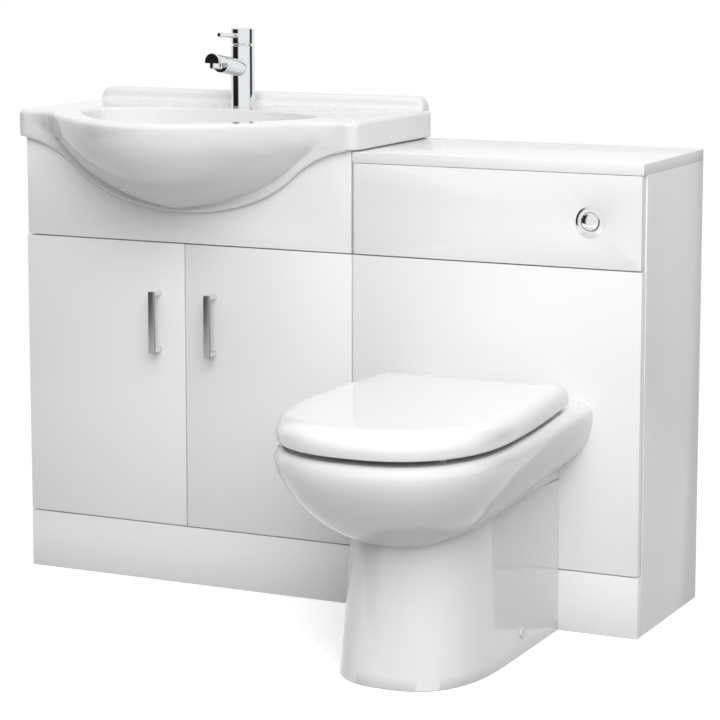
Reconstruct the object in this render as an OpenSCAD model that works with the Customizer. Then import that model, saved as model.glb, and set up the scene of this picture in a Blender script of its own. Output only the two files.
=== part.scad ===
// Toilet and basin combination unit: a vanity unit with a semi-recessed basin and mixer tap, beside
// a toilet unit with a concealed cistern and a back-to-wall pan. Millimetres, Z up.
// Inside the modules X runs from the vanity's left face, Y from the plane of the fixed fronts
// towards the wall, and Z from the floor. place() moves that frame so that the origin is the middle
// of the footprint.

/* [Cabinets] */
// Width of the vanity unit
vanity_w = 625; // [600:5:700]
// Height of the vanity unit, up to the underside of the basin
vanity_h = 757; // [745:1:790]
// Width of the toilet unit
wc_w = 500; // [480:5:600]
// Height of the toilet unit, up to the top of its worktop
wc_h = 755; // [745:5:800]
// Depth of both units, from the fixed fronts to the wall
unit_d = 290; // [285:5:340]
// Height of the plinths
plinth_h = 100; // [80:5:115]
// Height of the joint between the doors and the boards above them
split_h = 587; // [575:1:595]
// Thickness of the cabinet boards
board_t = 18; // [16:1:19]
// Thickness of the worktop
worktop_t = 18; // [16:1:25]
// Gap between one front and the next
front_gap = 2; // [1.5:0.5:3]
// How far the boards above the joint are set in at each side
fascia_inset = 2.5; // [1:0.5:4]
// Height of the rails across the units
rail_h = 80; // [60:5:90]
// Diameter of the wall screws' holes
wall_screw_d = 6; // [4:0.5:8]
// Distance between the wall screws along a rail
wall_screw_pitch = 300; // [200:10:400]
// Diameter of the bolts that join the two units
joining_bolt_d = 6; // [5:0.5:8]

/* [Doors] */
// How far the doors stand proud of the fixed fronts
door_proud = 1.5; // [1:0.5:2]
// Diameter of the hinge cups
cup_d = 35; // [30:1:40]
// Depth of the hinge cups
cup_depth = 12; // [10:0.5:13]
// Distance of a hinge cup's centre from the door's outer edge
cup_edge = 22.5; // [21.5:0.5:26]
// Distance of a hinge cup's centre from the top or bottom of the door
cup_end = 90; // [70:5:120]
// Length of a handle
handle_len = 106; // [80:2:160]
// Width of a handle's bar
handle_w = 11.5; // [9:0.5:16]
// Thickness of a handle's bar
handle_t = 4.5; // [3:0.5:8]
// Distance from the door to the front of a handle
handle_reach = 31; // [25:1:40]
// Diameter of a handle's legs
handle_leg_d = 9; // [7:0.5:9]
// Height of the middle of the handles
handle_z = 453; // [400:1:500]
// Distance of the left door's handle from the joint between the doors
left_handle_inset = 48.5; // [30:0.5:70]
// Distance of the right door's handle from the joint between the doors
right_handle_inset = 57.5; // [30:0.5:70]

/* [Basin] */
// How far the basin overhangs the vanity at each side
basin_over = 12.5; // [5:0.5:20]
// How far the basin's wings stand in front of the fixed fronts
basin_lip = 11; // [8:1:16]
// Height of the basin's edge
basin_edge_h = 46; // [38:1:50]
// Furthest reach of the bowl in front of the fixed fronts
basin_reach = 196; // [170:1:215]
// Half width of the bulge along the basin's front edge
bulge_w = 262; // [245:1:275]
// Half width of the belly where it leaves the apron
belly_w = 210; // [190:1:215]
// Height of the apron's lowest point above the joint of the fronts
apron_clear = 53; // [48:1:58]
// Height of the belly's lowest point above the apron's
belly_lift = 13; // [8:1:16]
// Half width of the basin's opening
bowl_w = 213; // [190:1:216]
// Distance from the fixed fronts to the front of the opening
bowl_front = 157; // [140:1:160]
// Distance from the fixed fronts back to the rear of the opening
bowl_back = 155; // [145:1:165]
// Thickness of the basin under the bowl
bowl_wall = 17; // [15:1:24]
// Height of the upstand along the back of the basin
upstand_h = 23; // [15:1:40]
// Thickness of the upstand
upstand_t = 25; // [18:1:32]
// Diameter of the waste hole
waste_hole_d = 45; // [42:0.5:46]
// Distance of the waste behind the fixed fronts
waste_y = 72; // [70:1:76]
// Outer diameter of the waste pipe to the wall
waste_pipe_d = 32; // [28:1:36]
// Drop from the bowl floor to the axis of the waste pipe
trap_drop = 130; // [120:1:140]
// Length of the waste and soil pipes that goes into the wall's sockets
outlet_len = 40; // [35:1:45]

/* [Tap] */
// Diameter of the tap's body
tap_d = 42.3; // [40:0.1:46]
// Height of the tap's body
tap_h = 107; // [95:1:130]
// Height of the tap's cap
cap_h = 27; // [25:1:32]
// Width of the groove between body and cap
tap_groove = 3; // [2:0.5:4]
// Distance of the tap's axis behind the fixed fronts
tap_y = 210; // [203:1:215]
// Diameter of the spout
spout_d = 30; // [26:0.5:32]
// Reach of the spout from the tap's axis
spout_reach = 111; // [90:1:130]
// Height of the spout's axis where it leaves the body's axis
spout_z = 66; // [58:1:72]
// Rise of the spout, in degrees
spout_rise = 9.5; // [5:0.5:14]
// Diameter of the lever pin
lever_d = 8.4; // [6:0.2:10]
// Reach of the lever pin from the tap's axis
lever_reach = 85; // [60:1:110]
// Rise of the lever pin, in degrees
lever_rise = 4; // [0:0.5:8]
// Largest lift of the lever, in degrees
lever_lift = 18; // [10:1:20]
// Diameter of the tap hole
tap_hole_d = 35; // [33:0.5:36]

/* [Cistern] */
// Width of the cistern
tank_w = 380; // [360:5:400]
// Depth of the cistern
tank_d = 140; // [130:5:150]
// Height of the cistern
tank_h = 280; // [270:5:290]
// Wall of the cistern
tank_wall = 4; // [3:0.5:6]
// Height of the cistern's underside
tank_z = 405; // [400:1:410]
// Distance of the flush button from the right side of the unit
button_side = 87; // [70:1:110]
// Diameter of the button's flange
button_flange_d = 45; // [42:1:52]
// Diameter of the button itself
button_d = 29; // [24:0.5:31]
// Travel of the flush button
button_travel = 8; // [5:0.5:10]
// Diameter of the flush pipe
flush_pipe_d = 44; // [40:1:46]
// Height of the flush inlet of the pan
inlet_z = 328; // [320:1:332]

/* [Pan and seat] */
// Reach of the closed lid in front of the fixed fronts
lid_reach = 542; // [510:1:580]
// Reach of the pan's rim in front of the fixed fronts
rim_reach = 533; // [500:1:540]
// Height of the rim at the front
rim_z = 362; // [355:1:368]
// Slope of the rim, in degrees
rim_slope = 1.6; // [1.2:0.1:1.8]
// Half width of the bowl at its widest
pan_w = 180; // [170:1:190]
// Half width of the pedestal at the floor
foot_w = 118; // [110:1:125]
// Reach of the pedestal at the floor
foot_reach = 414; // [390:1:430]
// Height of the crease between pedestal and bowl
crease_z = 200; // [190:1:210]
// Half width of the opening in the rim
pan_bowl_w = 122; // [110:1:126]
// Height of the soil outlet
soil_z = 180; // [175:1:190]
// Outer diameter of the pan's soil spigot
spigot_d = 102; // [100:1:104]
// Outer diameter of the soil pipe
soil_pipe_d = 110; // [108:1:114]
// Distance of the seat's hinge in front of the fixed fronts
hinge_y = 75; // [70:1:82]
// Height of the seat's hinge above the rim at that place
hinge_lift = 20.2; // [20:0.2:24]
// Distance of each hinge post from the middle of the seat
hinge_x = 77; // [70:1:85]
// Slope of the closed seat, in degrees
seat_tilt = 1.1; // [0.8:0.1:1.4]
// Half width of the lid
lid_w = 177; // [170:1:185]
// Height of the lid
lid_h = 42; // [38:1:48]
// Thickness of the seat ring
ring_t = 18; // [14:1:20]
// Half width of the hole in the seat
seat_hole_w = 105; // [95:1:112]

/* [Hidden] */
$fn = 64;

// colours
board_white = "#f1f1f2";
ceramic_white = "#f7f7f7";
chrome = "#b9bcc0";
satin_metal = "#8c8d90";
zinc_grey = "#a8abae";
plastic_white = "#e9e9e7";
rubber_dark = "#3a3a3c";

// overall frame
unit_w = vanity_w + wc_w;
x_mid = (unit_w - basin_over) / 2;
y_mid = (unit_d - lid_reach) / 2;
basin_x = vanity_w / 2;
pan_x = vanity_w + wc_w / 2;
seat_gap = 0.3;
bore_gap = 0.05;
bead_h = 2.5;
bead_t = 4;
eps = 0.5;

// cabinets
carcass_y = board_t;
wc_side_h = wc_h - worktop_t;
rail_y = unit_d - board_t;
front_rail_z = split_h - board_t;
front_rail_h = 55;
rail_screw_x = wall_screw_pitch / 2;
vanity_low_rail_z = plinth_h + board_t;
wc_low_rail_z = 25;
joint_bolt_y = unit_d - 60;
joint_bolt_z = [plinth_h + 160, split_h + 40];

// doors
door_y0 = -door_proud;
door_y1 = door_y0 + board_t;
door_z0 = plinth_h + front_gap / 2;
door_h = split_h - plinth_h - front_gap;
door_w = basin_x - front_gap;
hinge_z = [door_z0 + cup_end, door_z0 + door_h - cup_end];
leg_pitch = handle_len - handle_leg_d;
screw_d = 4;

// basin
rim_top = vanity_h + basin_edge_h;
wing_x = basin_x + basin_over;
apron_depth = rim_top - split_h - apron_clear;
belly_depth = apron_depth - belly_lift;
bowl_depth = belly_depth - bowl_wall;
belly_top = rim_top - 25;
belly_drop = belly_depth - 25;
apron_top = rim_top - 26;
apron_drop = apron_depth - 26;
apron_a = 240;
apron_turn = 205;
apron_turn_z = apron_top - apron_drop * sqrt(1 - pow(apron_turn / apron_a, 2));
apron_angle = atan(apron_drop * apron_turn / (apron_a * apron_a * sqrt(1 - pow(apron_turn / apron_a, 2))));
apron_r = (vanity_h - apron_turn_z) / (1 - cos(apron_angle));
apron_end = apron_turn + apron_r * sin(apron_angle);
apron_lap = 8;
bulge_power = 1.25;
corner_r = 18;
edge_r = 6;
bowl_floor = rim_top - bowl_depth;
waste_pipe_z = bowl_floor - trap_drop;
bowl_taper = 0.93;
bowl_fall = 0.95;
bowl_lip = 7;
waste_flat = 45;
front_n = 40;
side_n = 6;
back_n = 16;
overflow_r = 10;
overflow_z = rim_top - 38;
overflow_a = asin((rim_top - bowl_lip - overflow_z) / (bowl_depth - bowl_lip));
overflow_run = waste_y - waste_flat + bowl_front;
overflow_y = waste_y - waste_flat - overflow_run * bowl_taper * pow(cos(overflow_a), bowl_fall);
overflow_tilt = atan(overflow_run * bowl_taper * bowl_fall * tan(overflow_a) / (bowl_depth - bowl_lip));

// tap
tap_r = tap_d / 2;
groove_r = tap_r - 2.2;
cap_z = rim_top + tap_h + tap_groove;
lever_z = cap_z + 13;
deck_t = 20;

// cistern
tank_y0 = rail_y - tank_d;
valve_y = rail_y - tank_d / 2;
seat_hole_d = flush_pipe_d;
fill_x = pan_x + tank_w / 2 - 45;
tower_r = 30;
tower_h = tank_h - 70;
button_x = unit_w - button_side;
button_z = (split_h + wc_side_h) / 2;
sleeve_r = button_d / 2 + 4;

// pan and seat: half outlines run nose, right side, rear, left side
nose_n = 32;
flank_n = 8;
rim_rise = tan(rim_slope);
nose_y = -340;
bowl_n = 2.4;
trap_r = 36;
trap_wall = 10;
bend_r = 60;
bend_y = -265;
bend_z = soil_z - 29.3;
hinge_z0 = rim_z + rim_rise * (rim_reach - hinge_y) + hinge_lift;
lid_nose = (lid_reach - hinge_y) / cos(seat_tilt);
pin_r = 5;
lug_r = 9;

module place() translate([-x_mid, -y_mid, 0]) children();

// a closed solid through a list of rings that have the same number of points, its two ends closed
// by fans about their middles
module loft(rings) {
  n = len(rings[0]);
  m = len(rings);
  polyhedron(
    points = concat([for (ring = rings) each ring], [middle(rings[0]), middle(rings[m - 1])]),
    faces = concat(
      [for (j = [0:n - 1]) [m * n, j, (j + 1) % n]],
      [for (i = [0:m - 2]) for (j = [0:n - 1]) each loft_quad(i * n, (i + 1) * n, j, (j + 1) % n)],
      [for (j = [0:n - 1]) [m * n + 1, (m - 1) * n + (j + 1) % n, (m - 1) * n + j]]
    )
  );
}

function middle(ring) = [for (k = [0:2]) [for (p = ring) p[k]] * [for (p = ring) 1] / len(ring)];

// a closed tube of rings, the last one joined to the first
module loop_loft(rings) {
  n = len(rings[0]);
  m = len(rings);
  polyhedron(
    points = [for (ring = rings) each ring],
    faces = [for (i = [0:m - 1]) for (j = [0:n - 1])
      each loft_quad(i * n, ((i + 1) % m) * n, j, (j + 1) % n)]
  );
}

function loft_quad(a, b, j, k) = [[a + j, b + j, b + k], [a + j, b + k, a + k]];

// a round bar between two values along Y
module bar_y(r, y0, y1) {
  translate([0, y0, 0])
    rotate([-90, 0, 0])
      cylinder(r = r, h = y1 - y0);
}

// a round bar between two values along X
module bar_x(r, x0, x1) {
  translate([x0, 0, 0])
    rotate([0, 90, 0])
      cylinder(r = r, h = x1 - x0);
}

module tube(r_out, r_in, h) {
  difference() {
    cylinder(r = r_out, h = h);
    translate([0, 0, -eps])
      cylinder(r = r_in, h = h + 2 * eps);
  }
}

// ---------------------------------------------------------------- vanity unit

module joint_bores(x) {
  for (z = joint_bolt_z)
    translate([x, joint_bolt_y, z])
      bar_x(joining_bolt_d / 2 + bore_gap, -eps, board_t + eps);
}

module vanity_left_side() {
  color(board_white)
    place()
      translate([0, carcass_y, 0])
        cube([board_t, unit_d - carcass_y, vanity_h]);
}

module vanity_right_side() {
  color(board_white)
    place()
      difference() {
        translate([vanity_w - board_t, carcass_y, 0])
          cube([board_t, unit_d - carcass_y, vanity_h]);
        joint_bores(vanity_w - board_t);
      }
}

module vanity_base() {
  color(board_white)
    place()
      translate([board_t, carcass_y, plinth_h])
        cube([vanity_w - 2 * board_t, unit_d - carcass_y, board_t]);
}

module back_rails(x0, w, zs) {
  for (z = zs)
    difference() {
      translate([x0 + board_t, rail_y, z])
        cube([w - 2 * board_t, board_t, rail_h]);
      for (s = [-1, 1])
        translate([x0 + w / 2 + s * rail_screw_x, 0, z + rail_h / 2])
          bar_y(wall_screw_d / 2, rail_y - eps, unit_d + eps);
    }
}

module vanity_back_rails() {
  color(board_white)
    place()
      back_rails(0, vanity_w, [vanity_low_rail_z, vanity_h - rail_h]);
}

module front_rail(x0, w) {
  translate([x0 + board_t, carcass_y, front_rail_z])
    cube([w - 2 * board_t, board_t, front_rail_h]);
}

module vanity_front_rail() {
  color(board_white)
    place()
      front_rail(0, vanity_w);
}

// lower edge of the apron at a distance x from the basin's middle: an ellipse, then an arc that
// carries on from its slope and ends level with the top of the vanity unit
function apron_low(x) =
  abs(x) < apron_turn
    ? apron_top - apron_drop * sqrt(1 - pow(x / apron_a, 2))
    : vanity_h - apron_r + sqrt(apron_r * apron_r - pow(max(0, apron_end - abs(x)), 2));

module apron_profile(lift, half_w, top) {
  steps = 60;
  polygon(concat(
    [for (i = [0:steps]) let (x = half_w * (2 * i / steps - 1)) [x, min(top - eps, apron_low(x) + lift)]],
    [[half_w, top], [-half_w, top]]
  ));
}

module vanity_fascia() {
  color(board_white)
    place()
      difference() {
        translate([fascia_inset, 0, split_h + front_gap / 2])
          cube([vanity_w - 2 * fascia_inset, board_t, vanity_h - split_h - front_gap / 2]);
        translate([basin_x, board_t + eps, 0])
          rotate([90, 0, 0])
            linear_extrude(board_t + 2 * eps)
              apron_profile(apron_lap, belly_w + 48, vanity_h + 3 * eps);
      }
}

module plinth(x0, w) {
  translate([x0, 0, 0])
    cube([w, board_t, plinth_h - front_gap / 2]);
}

module vanity_plinth() {
  color(board_white)
    place()
      plinth(0, vanity_w);
}

// side is -1 for the left door and 1 for the right one
module at_handle(side) {
  inset = side < 0 ? left_handle_inset : right_handle_inset;
  translate([basin_x + side * inset, door_y0, handle_z])
    children();
}

module at_cups(side) {
  for (z = hinge_z)
    translate([basin_x + side * (basin_x - front_gap / 2 - cup_edge), door_y1, z])
      children();
}

module door(side) {
  difference() {
    translate([basin_x - (side < 0 ? door_w + front_gap / 2 : -front_gap / 2), door_y0, door_z0])
      cube([door_w, board_t, door_h]);
    at_cups(side)
      bar_y(cup_d / 2, -cup_depth, eps);
    at_handle(side)
      for (s = [-1, 1])
        translate([0, 0, s * leg_pitch / 2])
          bar_y(screw_d / 2 + bore_gap, -eps, board_t + eps);
  }
}

module left_door() {
  color(board_white)
    place()
      door(-1);
}

module right_door() {
  color(board_white)
    place()
      door(1);
}

module handle(side) {
  bar_y0 = -handle_reach;
  at_handle(side)
    difference() {
      union() {
        translate([-handle_w / 2, bar_y0, -handle_len / 2])
          cube([handle_w, handle_t, handle_len]);
        for (s = [-1, 1])
          translate([0, 0, s * leg_pitch / 2])
            bar_y(handle_leg_d / 2, bar_y0 + handle_t / 2, 0);
      }
      for (s = [-1, 1])
        translate([0, 0, s * leg_pitch / 2])
          bar_y(screw_d / 2 + bore_gap, -15, eps);
    }
}

module left_handle() {
  color(satin_metal)
    place()
      handle(-1);
}

module right_handle() {
  color(satin_metal)
    place()
      handle(1);
}

module handle_screws(side) {
  at_handle(side)
    for (s = [-1, 1])
      translate([0, 0, s * leg_pitch / 2]) {
        bar_y(screw_d / 2, -12, board_t + 1);
        bar_y(screw_d, board_t, board_t + 2.4);
      }
}

module left_handle_screws() {
  color(zinc_grey)
    place()
      handle_screws(-1);
}

module right_handle_screws() {
  color(zinc_grey)
    place()
      handle_screws(1);
}

// a pressed cup with a thin flange on the inside of the door
module hinge_cup() {
  flange_t = 1;
  difference() {
    union() {
      bar_y(cup_d / 2 - bore_gap, -cup_depth + bore_gap, 0);
      translate([-7, 0, -30])
        cube([14, flange_t, 60]);
    }
    bar_y(cup_d / 2 - 2, -cup_depth + 2, -eps);
    translate([-5, -3, -12])
      cube([10, 6, 24]);
  }
}

module left_hinge_cups() {
  color(zinc_grey)
    place()
      at_cups(-1) hinge_cup();
}

module right_hinge_cups() {
  color(zinc_grey)
    place()
      at_cups(1) hinge_cup();
}

// mounting plate on each side board and the arm that reaches forward to the cup
module hinge_arms() {
  color(zinc_grey)
    place()
      for (side = [-1, 1], z = hinge_z)
        translate([basin_x + side * (basin_x - board_t), carcass_y, z])
          scale([side, 1, 1]) {
            translate([-3, 20, -16])
              cube([3, 44, 32]);
            translate([-12, 8, -8])
              cube([9 + eps, 52, 16]);
            translate([-16, 1, -6])
              cube([10, 12, 12]);
          }
}

module door_bumpers() {
  color(plastic_white)
    place()
      for (s = [-1, 1], z = [plinth_h + board_t / 2, front_rail_z + board_t / 2])
        translate([basin_x + s * 24, 0, z])
          bar_y(4, door_y1 + seat_gap, carcass_y);
}

module joining_bolts() {
  color(zinc_grey)
    place()
      for (z = joint_bolt_z)
        translate([vanity_w, joint_bolt_y, z]) {
          bar_x(joining_bolt_d / 2, -board_t - 1, board_t + 1);
          bar_x(joining_bolt_d, -board_t - 3, -board_t);
          bar_x(joining_bolt_d, board_t, board_t + 3);
        }
}

// ---------------------------------------------------------------- basin

// front edge in plan: stations from the left (-1) to the right (1), and how far out each one is,
// from 0 to 1, on half an ellipse, on an arch, and on an S-curve that runs out level
run_s = [for (i = [0:front_n]) -cos(180 * i / front_n)];
ellipse_out = [for (s = run_s) sqrt(max(0, 1 - s * s))];
arch_out = [for (s = run_s) pow(max(0, cos(90 * s)), 0.93)];
bulge_out = [for (s = run_s) (cos(180 * pow(abs(s), bulge_power)) + 1) / 2];
belly_out = (ellipse_out + arch_out) / 2;

function front_run(w, y0, yf, out) =
  [for (i = [0:front_n]) [run_s[i] * w, y0 - (y0 - yf) * out[i]]];

// right side and back of the rectangular edge, and the same number of points round an oval
function edge_side(w, y0, yb) = concat(
  [for (a = [0, 30, 60, 90]) [w - corner_r + corner_r * sin(a), y0 + corner_r - corner_r * cos(a)]],
  [[w, (y0 + yb) / 2], [w, yb]]);
function oval_side(a, y0, y1) = [for (k = [1:side_n]) [a, y0 + (y1 - y0) * k / side_n]];
function edge_back(w, yb) = [for (j = [1:back_n - 1]) [w * (1 - 2 * j / back_n), yb]];
function oval_back(a, y1, yb) = [for (j = [1:back_n - 1])
  [a * cos(180 * j / back_n), y1 + (yb - y1) * sin(180 * j / back_n)]];

function mirrored(run) = [for (k = [len(run) - 1:-1:0]) [-run[k][0], run[k][1]]];
function basin_ring(z, front, side, back) =
  [for (p = concat(front, side, back, mirrored(side))) [basin_x + p[0], p[1], z]];

function edge_ring(z, inset, share) =
  let (k = (rim_top - 10 - z) / (belly_depth - 8),
       yf = -(basin_reach - inset) * sqrt(1 - pow(max(0, k), 2)),
       a = belly_w * sqrt(1 - pow(max(0, belly_top - z) / belly_drop, 2)),
       w = a + (bulge_w - a) * share)
  basin_ring(z, front_run(w, -basin_lip + inset, yf, belly_out * (1 - share) + bulge_out * share),
    edge_side(wing_x - inset, -basin_lip + inset, unit_d), edge_back(wing_x - inset, unit_d));

function belly_ring(z, inset) =
  let (k = (rim_top - 10 - z) / (belly_depth - 8),
       c = sqrt(1 - pow((belly_top - z) / belly_drop, 2)),
       a = belly_w * c - inset,
       yf = -basin_reach * sqrt(1 - pow(k, 2)) + inset)
  basin_ring(z, front_run(a, inset - basin_lip, yf, belly_out), oval_side(a, inset - basin_lip, waste_y - 30),
    oval_back(a, waste_y - 30, waste_y + 58 + 45 * c));

function bowl_ring(z, share) =
  let (a = waste_flat + (bowl_w - waste_flat) * share,
       yf = waste_y - waste_flat - (waste_y - waste_flat + bowl_front) * share,
       y0 = waste_y - 10 - 40 * share,
       y1 = waste_y + 10 - 20 * share,
       yb = waste_y + waste_flat + (bowl_back - waste_y - waste_flat) * share)
  basin_ring(z, front_run(a, y0, yf, ellipse_out * (1 - share) + arch_out * share),
    oval_side(a, y0, y1), oval_back(a, y1, yb));

// the point of the bowl's front wall where the overflow opens, square to the wall
module at_overflow() {
  translate([basin_x, overflow_y, overflow_z])
    rotate([overflow_tilt, 0, 0])
      children();
}

// rings up the bowl from its floor, each grown in plan and lowered by the same amount
function bowl_rings(grow, drop) = concat(
  [bowl_ring(bowl_floor - drop, grow)],
  [for (a = [80, 69, 57, 44, 30, 16])
    bowl_ring(rim_top - bowl_lip - (bowl_depth - bowl_lip) * sin(a) - drop,
      bowl_taper * pow(cos(a), bowl_fall) + grow)],
  [bowl_ring(rim_top - bowl_lip, 1 + grow)]
);

module basin_shell() {
  low = [78, 66, 54, 42, 31, 20];
  bowl = bowl_rings(0, 0);
  loft(concat(
    [for (a = low) belly_ring(belly_top - belly_drop * sin(a), 0)],
    [belly_ring(vanity_h, 1)],
    [for (f = [0, 0.2, 0.4, 0.6, 0.8]) let (z = vanity_h + f * (basin_edge_h - edge_r))
      edge_ring(z, 0, f * f * (3 - 2 * f))],
    [for (a = [0, 30, 60, 90]) edge_ring(rim_top - edge_r + edge_r * sin(a), edge_r - edge_r * cos(a), 1)],
    [bowl_ring(rim_top, 1.03), bowl_ring(rim_top - 2, 1.01)],
    [for (i = [len(bowl) - 1:-1:0]) bowl[i]]
  ));
}

module basin() {
  color(ceramic_white)
    place()
      difference() {
        union() {
          basin_shell();
          difference() {
            translate([basin_x, 0, 0])
              rotate([90, 0, 0])
                linear_extrude(basin_lip - 0.2)
                  apron_profile(0, wing_x - corner_r, vanity_h + 2);
            loft(bowl_rings(0.03, 6));
          }
          translate([basin_x, unit_d, 0])
            rotate([90, 0, 0])
              linear_extrude(upstand_t)
                polygon([
                  [-wing_x + edge_r, rim_top - 5],
                  [wing_x - edge_r, rim_top - 5],
                  [wing_x - edge_r, rim_top + upstand_h * 0.4],
                  [wing_x - edge_r - 4, rim_top + upstand_h * 0.8],
                  [wing_x - edge_r - 14, rim_top + upstand_h],
                  [-wing_x + edge_r + 14, rim_top + upstand_h],
                  [-wing_x + edge_r + 4, rim_top + upstand_h * 0.8],
                  [-wing_x + edge_r, rim_top + upstand_h * 0.4]
                ]);
        }
        translate([basin_x, waste_y, bowl_floor - 30])
          cylinder(d = waste_hole_d, h = 40);
        translate([basin_x, tap_y, vanity_h - eps])
          cylinder(d = tap_hole_d, h = basin_edge_h + 2 * eps);
        translate([basin_x, tap_y, vanity_h - eps])
          cylinder(d = tap_hole_d + 34, h = basin_edge_h - deck_t + eps);
        at_overflow()
          bar_y(overflow_r, -16, 10);
      }
}

// ring with a flange that stands clear of the hollow wall round its hole
module overflow_ring() {
  flange_y = 2;
  color(chrome)
    place()
      at_overflow()
        difference() {
          union() {
            bar_y(overflow_r - 2 * bore_gap, -10, flange_y + 1);
            bar_y(overflow_r + 4, flange_y, flange_y + 2);
          }
          bar_y(overflow_r - 2.5, -11, flange_y + 3);
        }
}

waste_r = waste_hole_d / 2 - 1.5;
plug_r = waste_r + 5.5;
stem_r = 4;
trap_top = waste_pipe_z + 46;

module at_waste(z) {
  translate([basin_x, waste_y, z])
    children();
}

plate_t = 1.2;

// flanged waste with a spider that guides the plug's stem
module basin_waste() {
  color(chrome)
    place()
      difference() {
        union() {
          difference() {
            union() {
              at_waste(trap_top - 4)
                cylinder(r = waste_r, h = bowl_floor - trap_top + 5);
              at_waste(bowl_floor)
                cylinder(r1 = 33, r2 = 31, h = 3.5);
            }
            at_waste(trap_top - 5)
              cylinder(r = waste_r - 3, h = bowl_floor - trap_top + 10);
            at_waste(bowl_floor + plate_t)
              cylinder(r = plug_r + 1, h = 4);
          }
          at_waste(bowl_floor - 30)
            cylinder(r = stem_r + 3, h = 6);
          for (a = [0, 90])
            at_waste(bowl_floor - 27)
              rotate([0, 0, a])
                cube([2 * waste_r - 4, 3, 6], center = true);
        }
        at_waste(bowl_floor - 31)
          cylinder(r = stem_r + bore_gap, h = 8);
      }
}

belly_floor = belly_top - belly_drop * sin(78);

module waste_washer() {
  color(rubber_dark)
    place()
      at_waste(belly_floor - 4)
        tube(30, waste_r + bore_gap, 4);
}

module waste_nut() {
  color(zinc_grey)
    place()
      at_waste(belly_floor - 14)
        difference() {
          cylinder(r = 31, h = 10, $fn = 6);
          translate([0, 0, -eps])
            cylinder(r = waste_r + bore_gap, h = 10 + 2 * eps);
        }
}

// domed plug that lifts on a stem guided by a spider in the waste
module waste_plug() {
  plug_z = bowl_floor + plate_t + seat_gap;
  color(chrome)
    place() {
      at_waste(plug_z)
        cylinder(r = plug_r, h = 2.5);
      at_waste(plug_z + 2.5)
        cylinder(r1 = plug_r, r2 = plug_r - 5, h = 1.5);
      at_waste(bowl_floor - 34)
        cylinder(r = stem_r, h = 35 + plate_t);
    }
}

module bottle_trap() {
  color(plastic_white)
    place()
      difference() {
        union() {
          at_waste(waste_pipe_z - 62)
            cylinder(r = 30, h = 92);
          at_waste(waste_pipe_z - 66)
            cylinder(r = 32, h = 16);
          at_waste(waste_pipe_z + 30)
            cylinder(r = 29, h = 24);
          at_waste(waste_pipe_z)
            bar_y(waste_pipe_d / 2 + 5, 20, 50);
        }
        at_waste(waste_pipe_z - 58)
          cylinder(r = 26, h = 84);
        at_waste(waste_pipe_z + 20)
          cylinder(r = waste_r - 4, h = 40);
        at_waste(trap_top - 5)
          cylinder(r = waste_r + bore_gap, h = 15);
        at_waste(waste_pipe_z)
          bar_y(waste_pipe_d / 2 - 3, 10, 55);
        at_waste(waste_pipe_z)
          bar_y(waste_pipe_d / 2 + bore_gap, 30, 55);
      }
}

module waste_pipe() {
  color(plastic_white)
    place()
      translate([basin_x, 0, waste_pipe_z])
        difference() {
          union() {
            bar_y(waste_pipe_d / 2, waste_y + 31, unit_d);
            bar_y(waste_pipe_d / 2 + bead_h, unit_d - outlet_len - bead_t, unit_d - outlet_len);
          }
          bar_y(waste_pipe_d / 2 - 2, waste_y + 30, unit_d + eps);
        }
}

// ---------------------------------------------------------------- tap

module at_tap(z) {
  translate([basin_x, tap_y, z])
    children();
}

cartridge_r = tap_r - 5;
cross_pin_x = tap_r - 2;
pin_end_r = 2;
spout_bore_r = 9;
spout_drop = spout_reach * tan(spout_rise) - 3;
spout_cut_r = 28;
outlet_y = -spout_reach + 13;
aerator_r = 11.5;
aerator_h = 10;
inlet_x = 8.5;
inlet_y = 4;
inlet_r = 5;
inlet_depth = 12;
stud_r = 4;
stud_y = -9;
stud_depth = 10;
stud_tail = 22;
nut_h = 8;
horseshoe_t = 4;

module tap_body() {
  color(chrome)
    place()
      at_tap(rim_top)
        difference() {
          union() {
            cylinder(r = tap_r, h = tap_h - 1);
            translate([0, 0, tap_h - 1])
              cylinder(r1 = tap_r, r2 = tap_r - 1, h = 1);
            cylinder(r = groove_r, h = tap_h + tap_groove / 2);
          }
          translate([0, 0, tap_h - 30])
            cylinder(r = cartridge_r, h = 40);
          translate([0, 0, inlet_depth])
            cylinder(r = cartridge_r - 4, h = tap_h - 50);
          for (s = [-1, 1])
            translate([s * inlet_x, inlet_y, -eps])
              cylinder(r = inlet_r, h = inlet_depth + eps);
          translate([0, stud_y, -eps])
            cylinder(r = stud_r + bore_gap, h = stud_depth + eps);
          translate([0, 0, spout_z])
            rotate([-spout_rise, 0, 0])
              bar_y(spout_bore_r, -tap_r - 5, -5);
        }
}

// a round spout, cut away below its tip
module tap_spout() {
  color(chrome)
    place()
      at_tap(rim_top + spout_z)
        difference() {
          rotate([-spout_rise, 0, 0])
            bar_y(spout_d / 2, -spout_reach - 20, -tap_r + 5);
          translate([0, 0, -tap_h])
            cylinder(r = tap_r, h = 2 * tap_h);
          translate([-spout_d, -spout_reach - 40, -spout_d])
            cube([2 * spout_d, 40, 4 * spout_d]);
          translate([0, -spout_reach, spout_drop - spout_d])
            cylinder(r = spout_cut_r, h = spout_d);
          rotate([-spout_rise, 0, 0])
            bar_y(spout_bore_r, -spout_reach + 16, -tap_r + 6);
          translate([0, outlet_y, spout_drop - eps])
            cylinder(r = aerator_r - 3.5, h = 8);
        }
}

module tap_aerator() {
  color(zinc_grey)
    place()
      at_tap(rim_top + spout_z)
        translate([0, outlet_y, spout_drop - aerator_h])
          tube(aerator_r, aerator_r - 3.5, aerator_h);
}

module tap_stud() {
  color(zinc_grey)
    place()
      at_tap(vanity_h - stud_tail)
        translate([0, stud_y, 0])
          cylinder(r = stud_r, h = basin_edge_h + stud_tail + stud_depth - 1);
}

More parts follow.
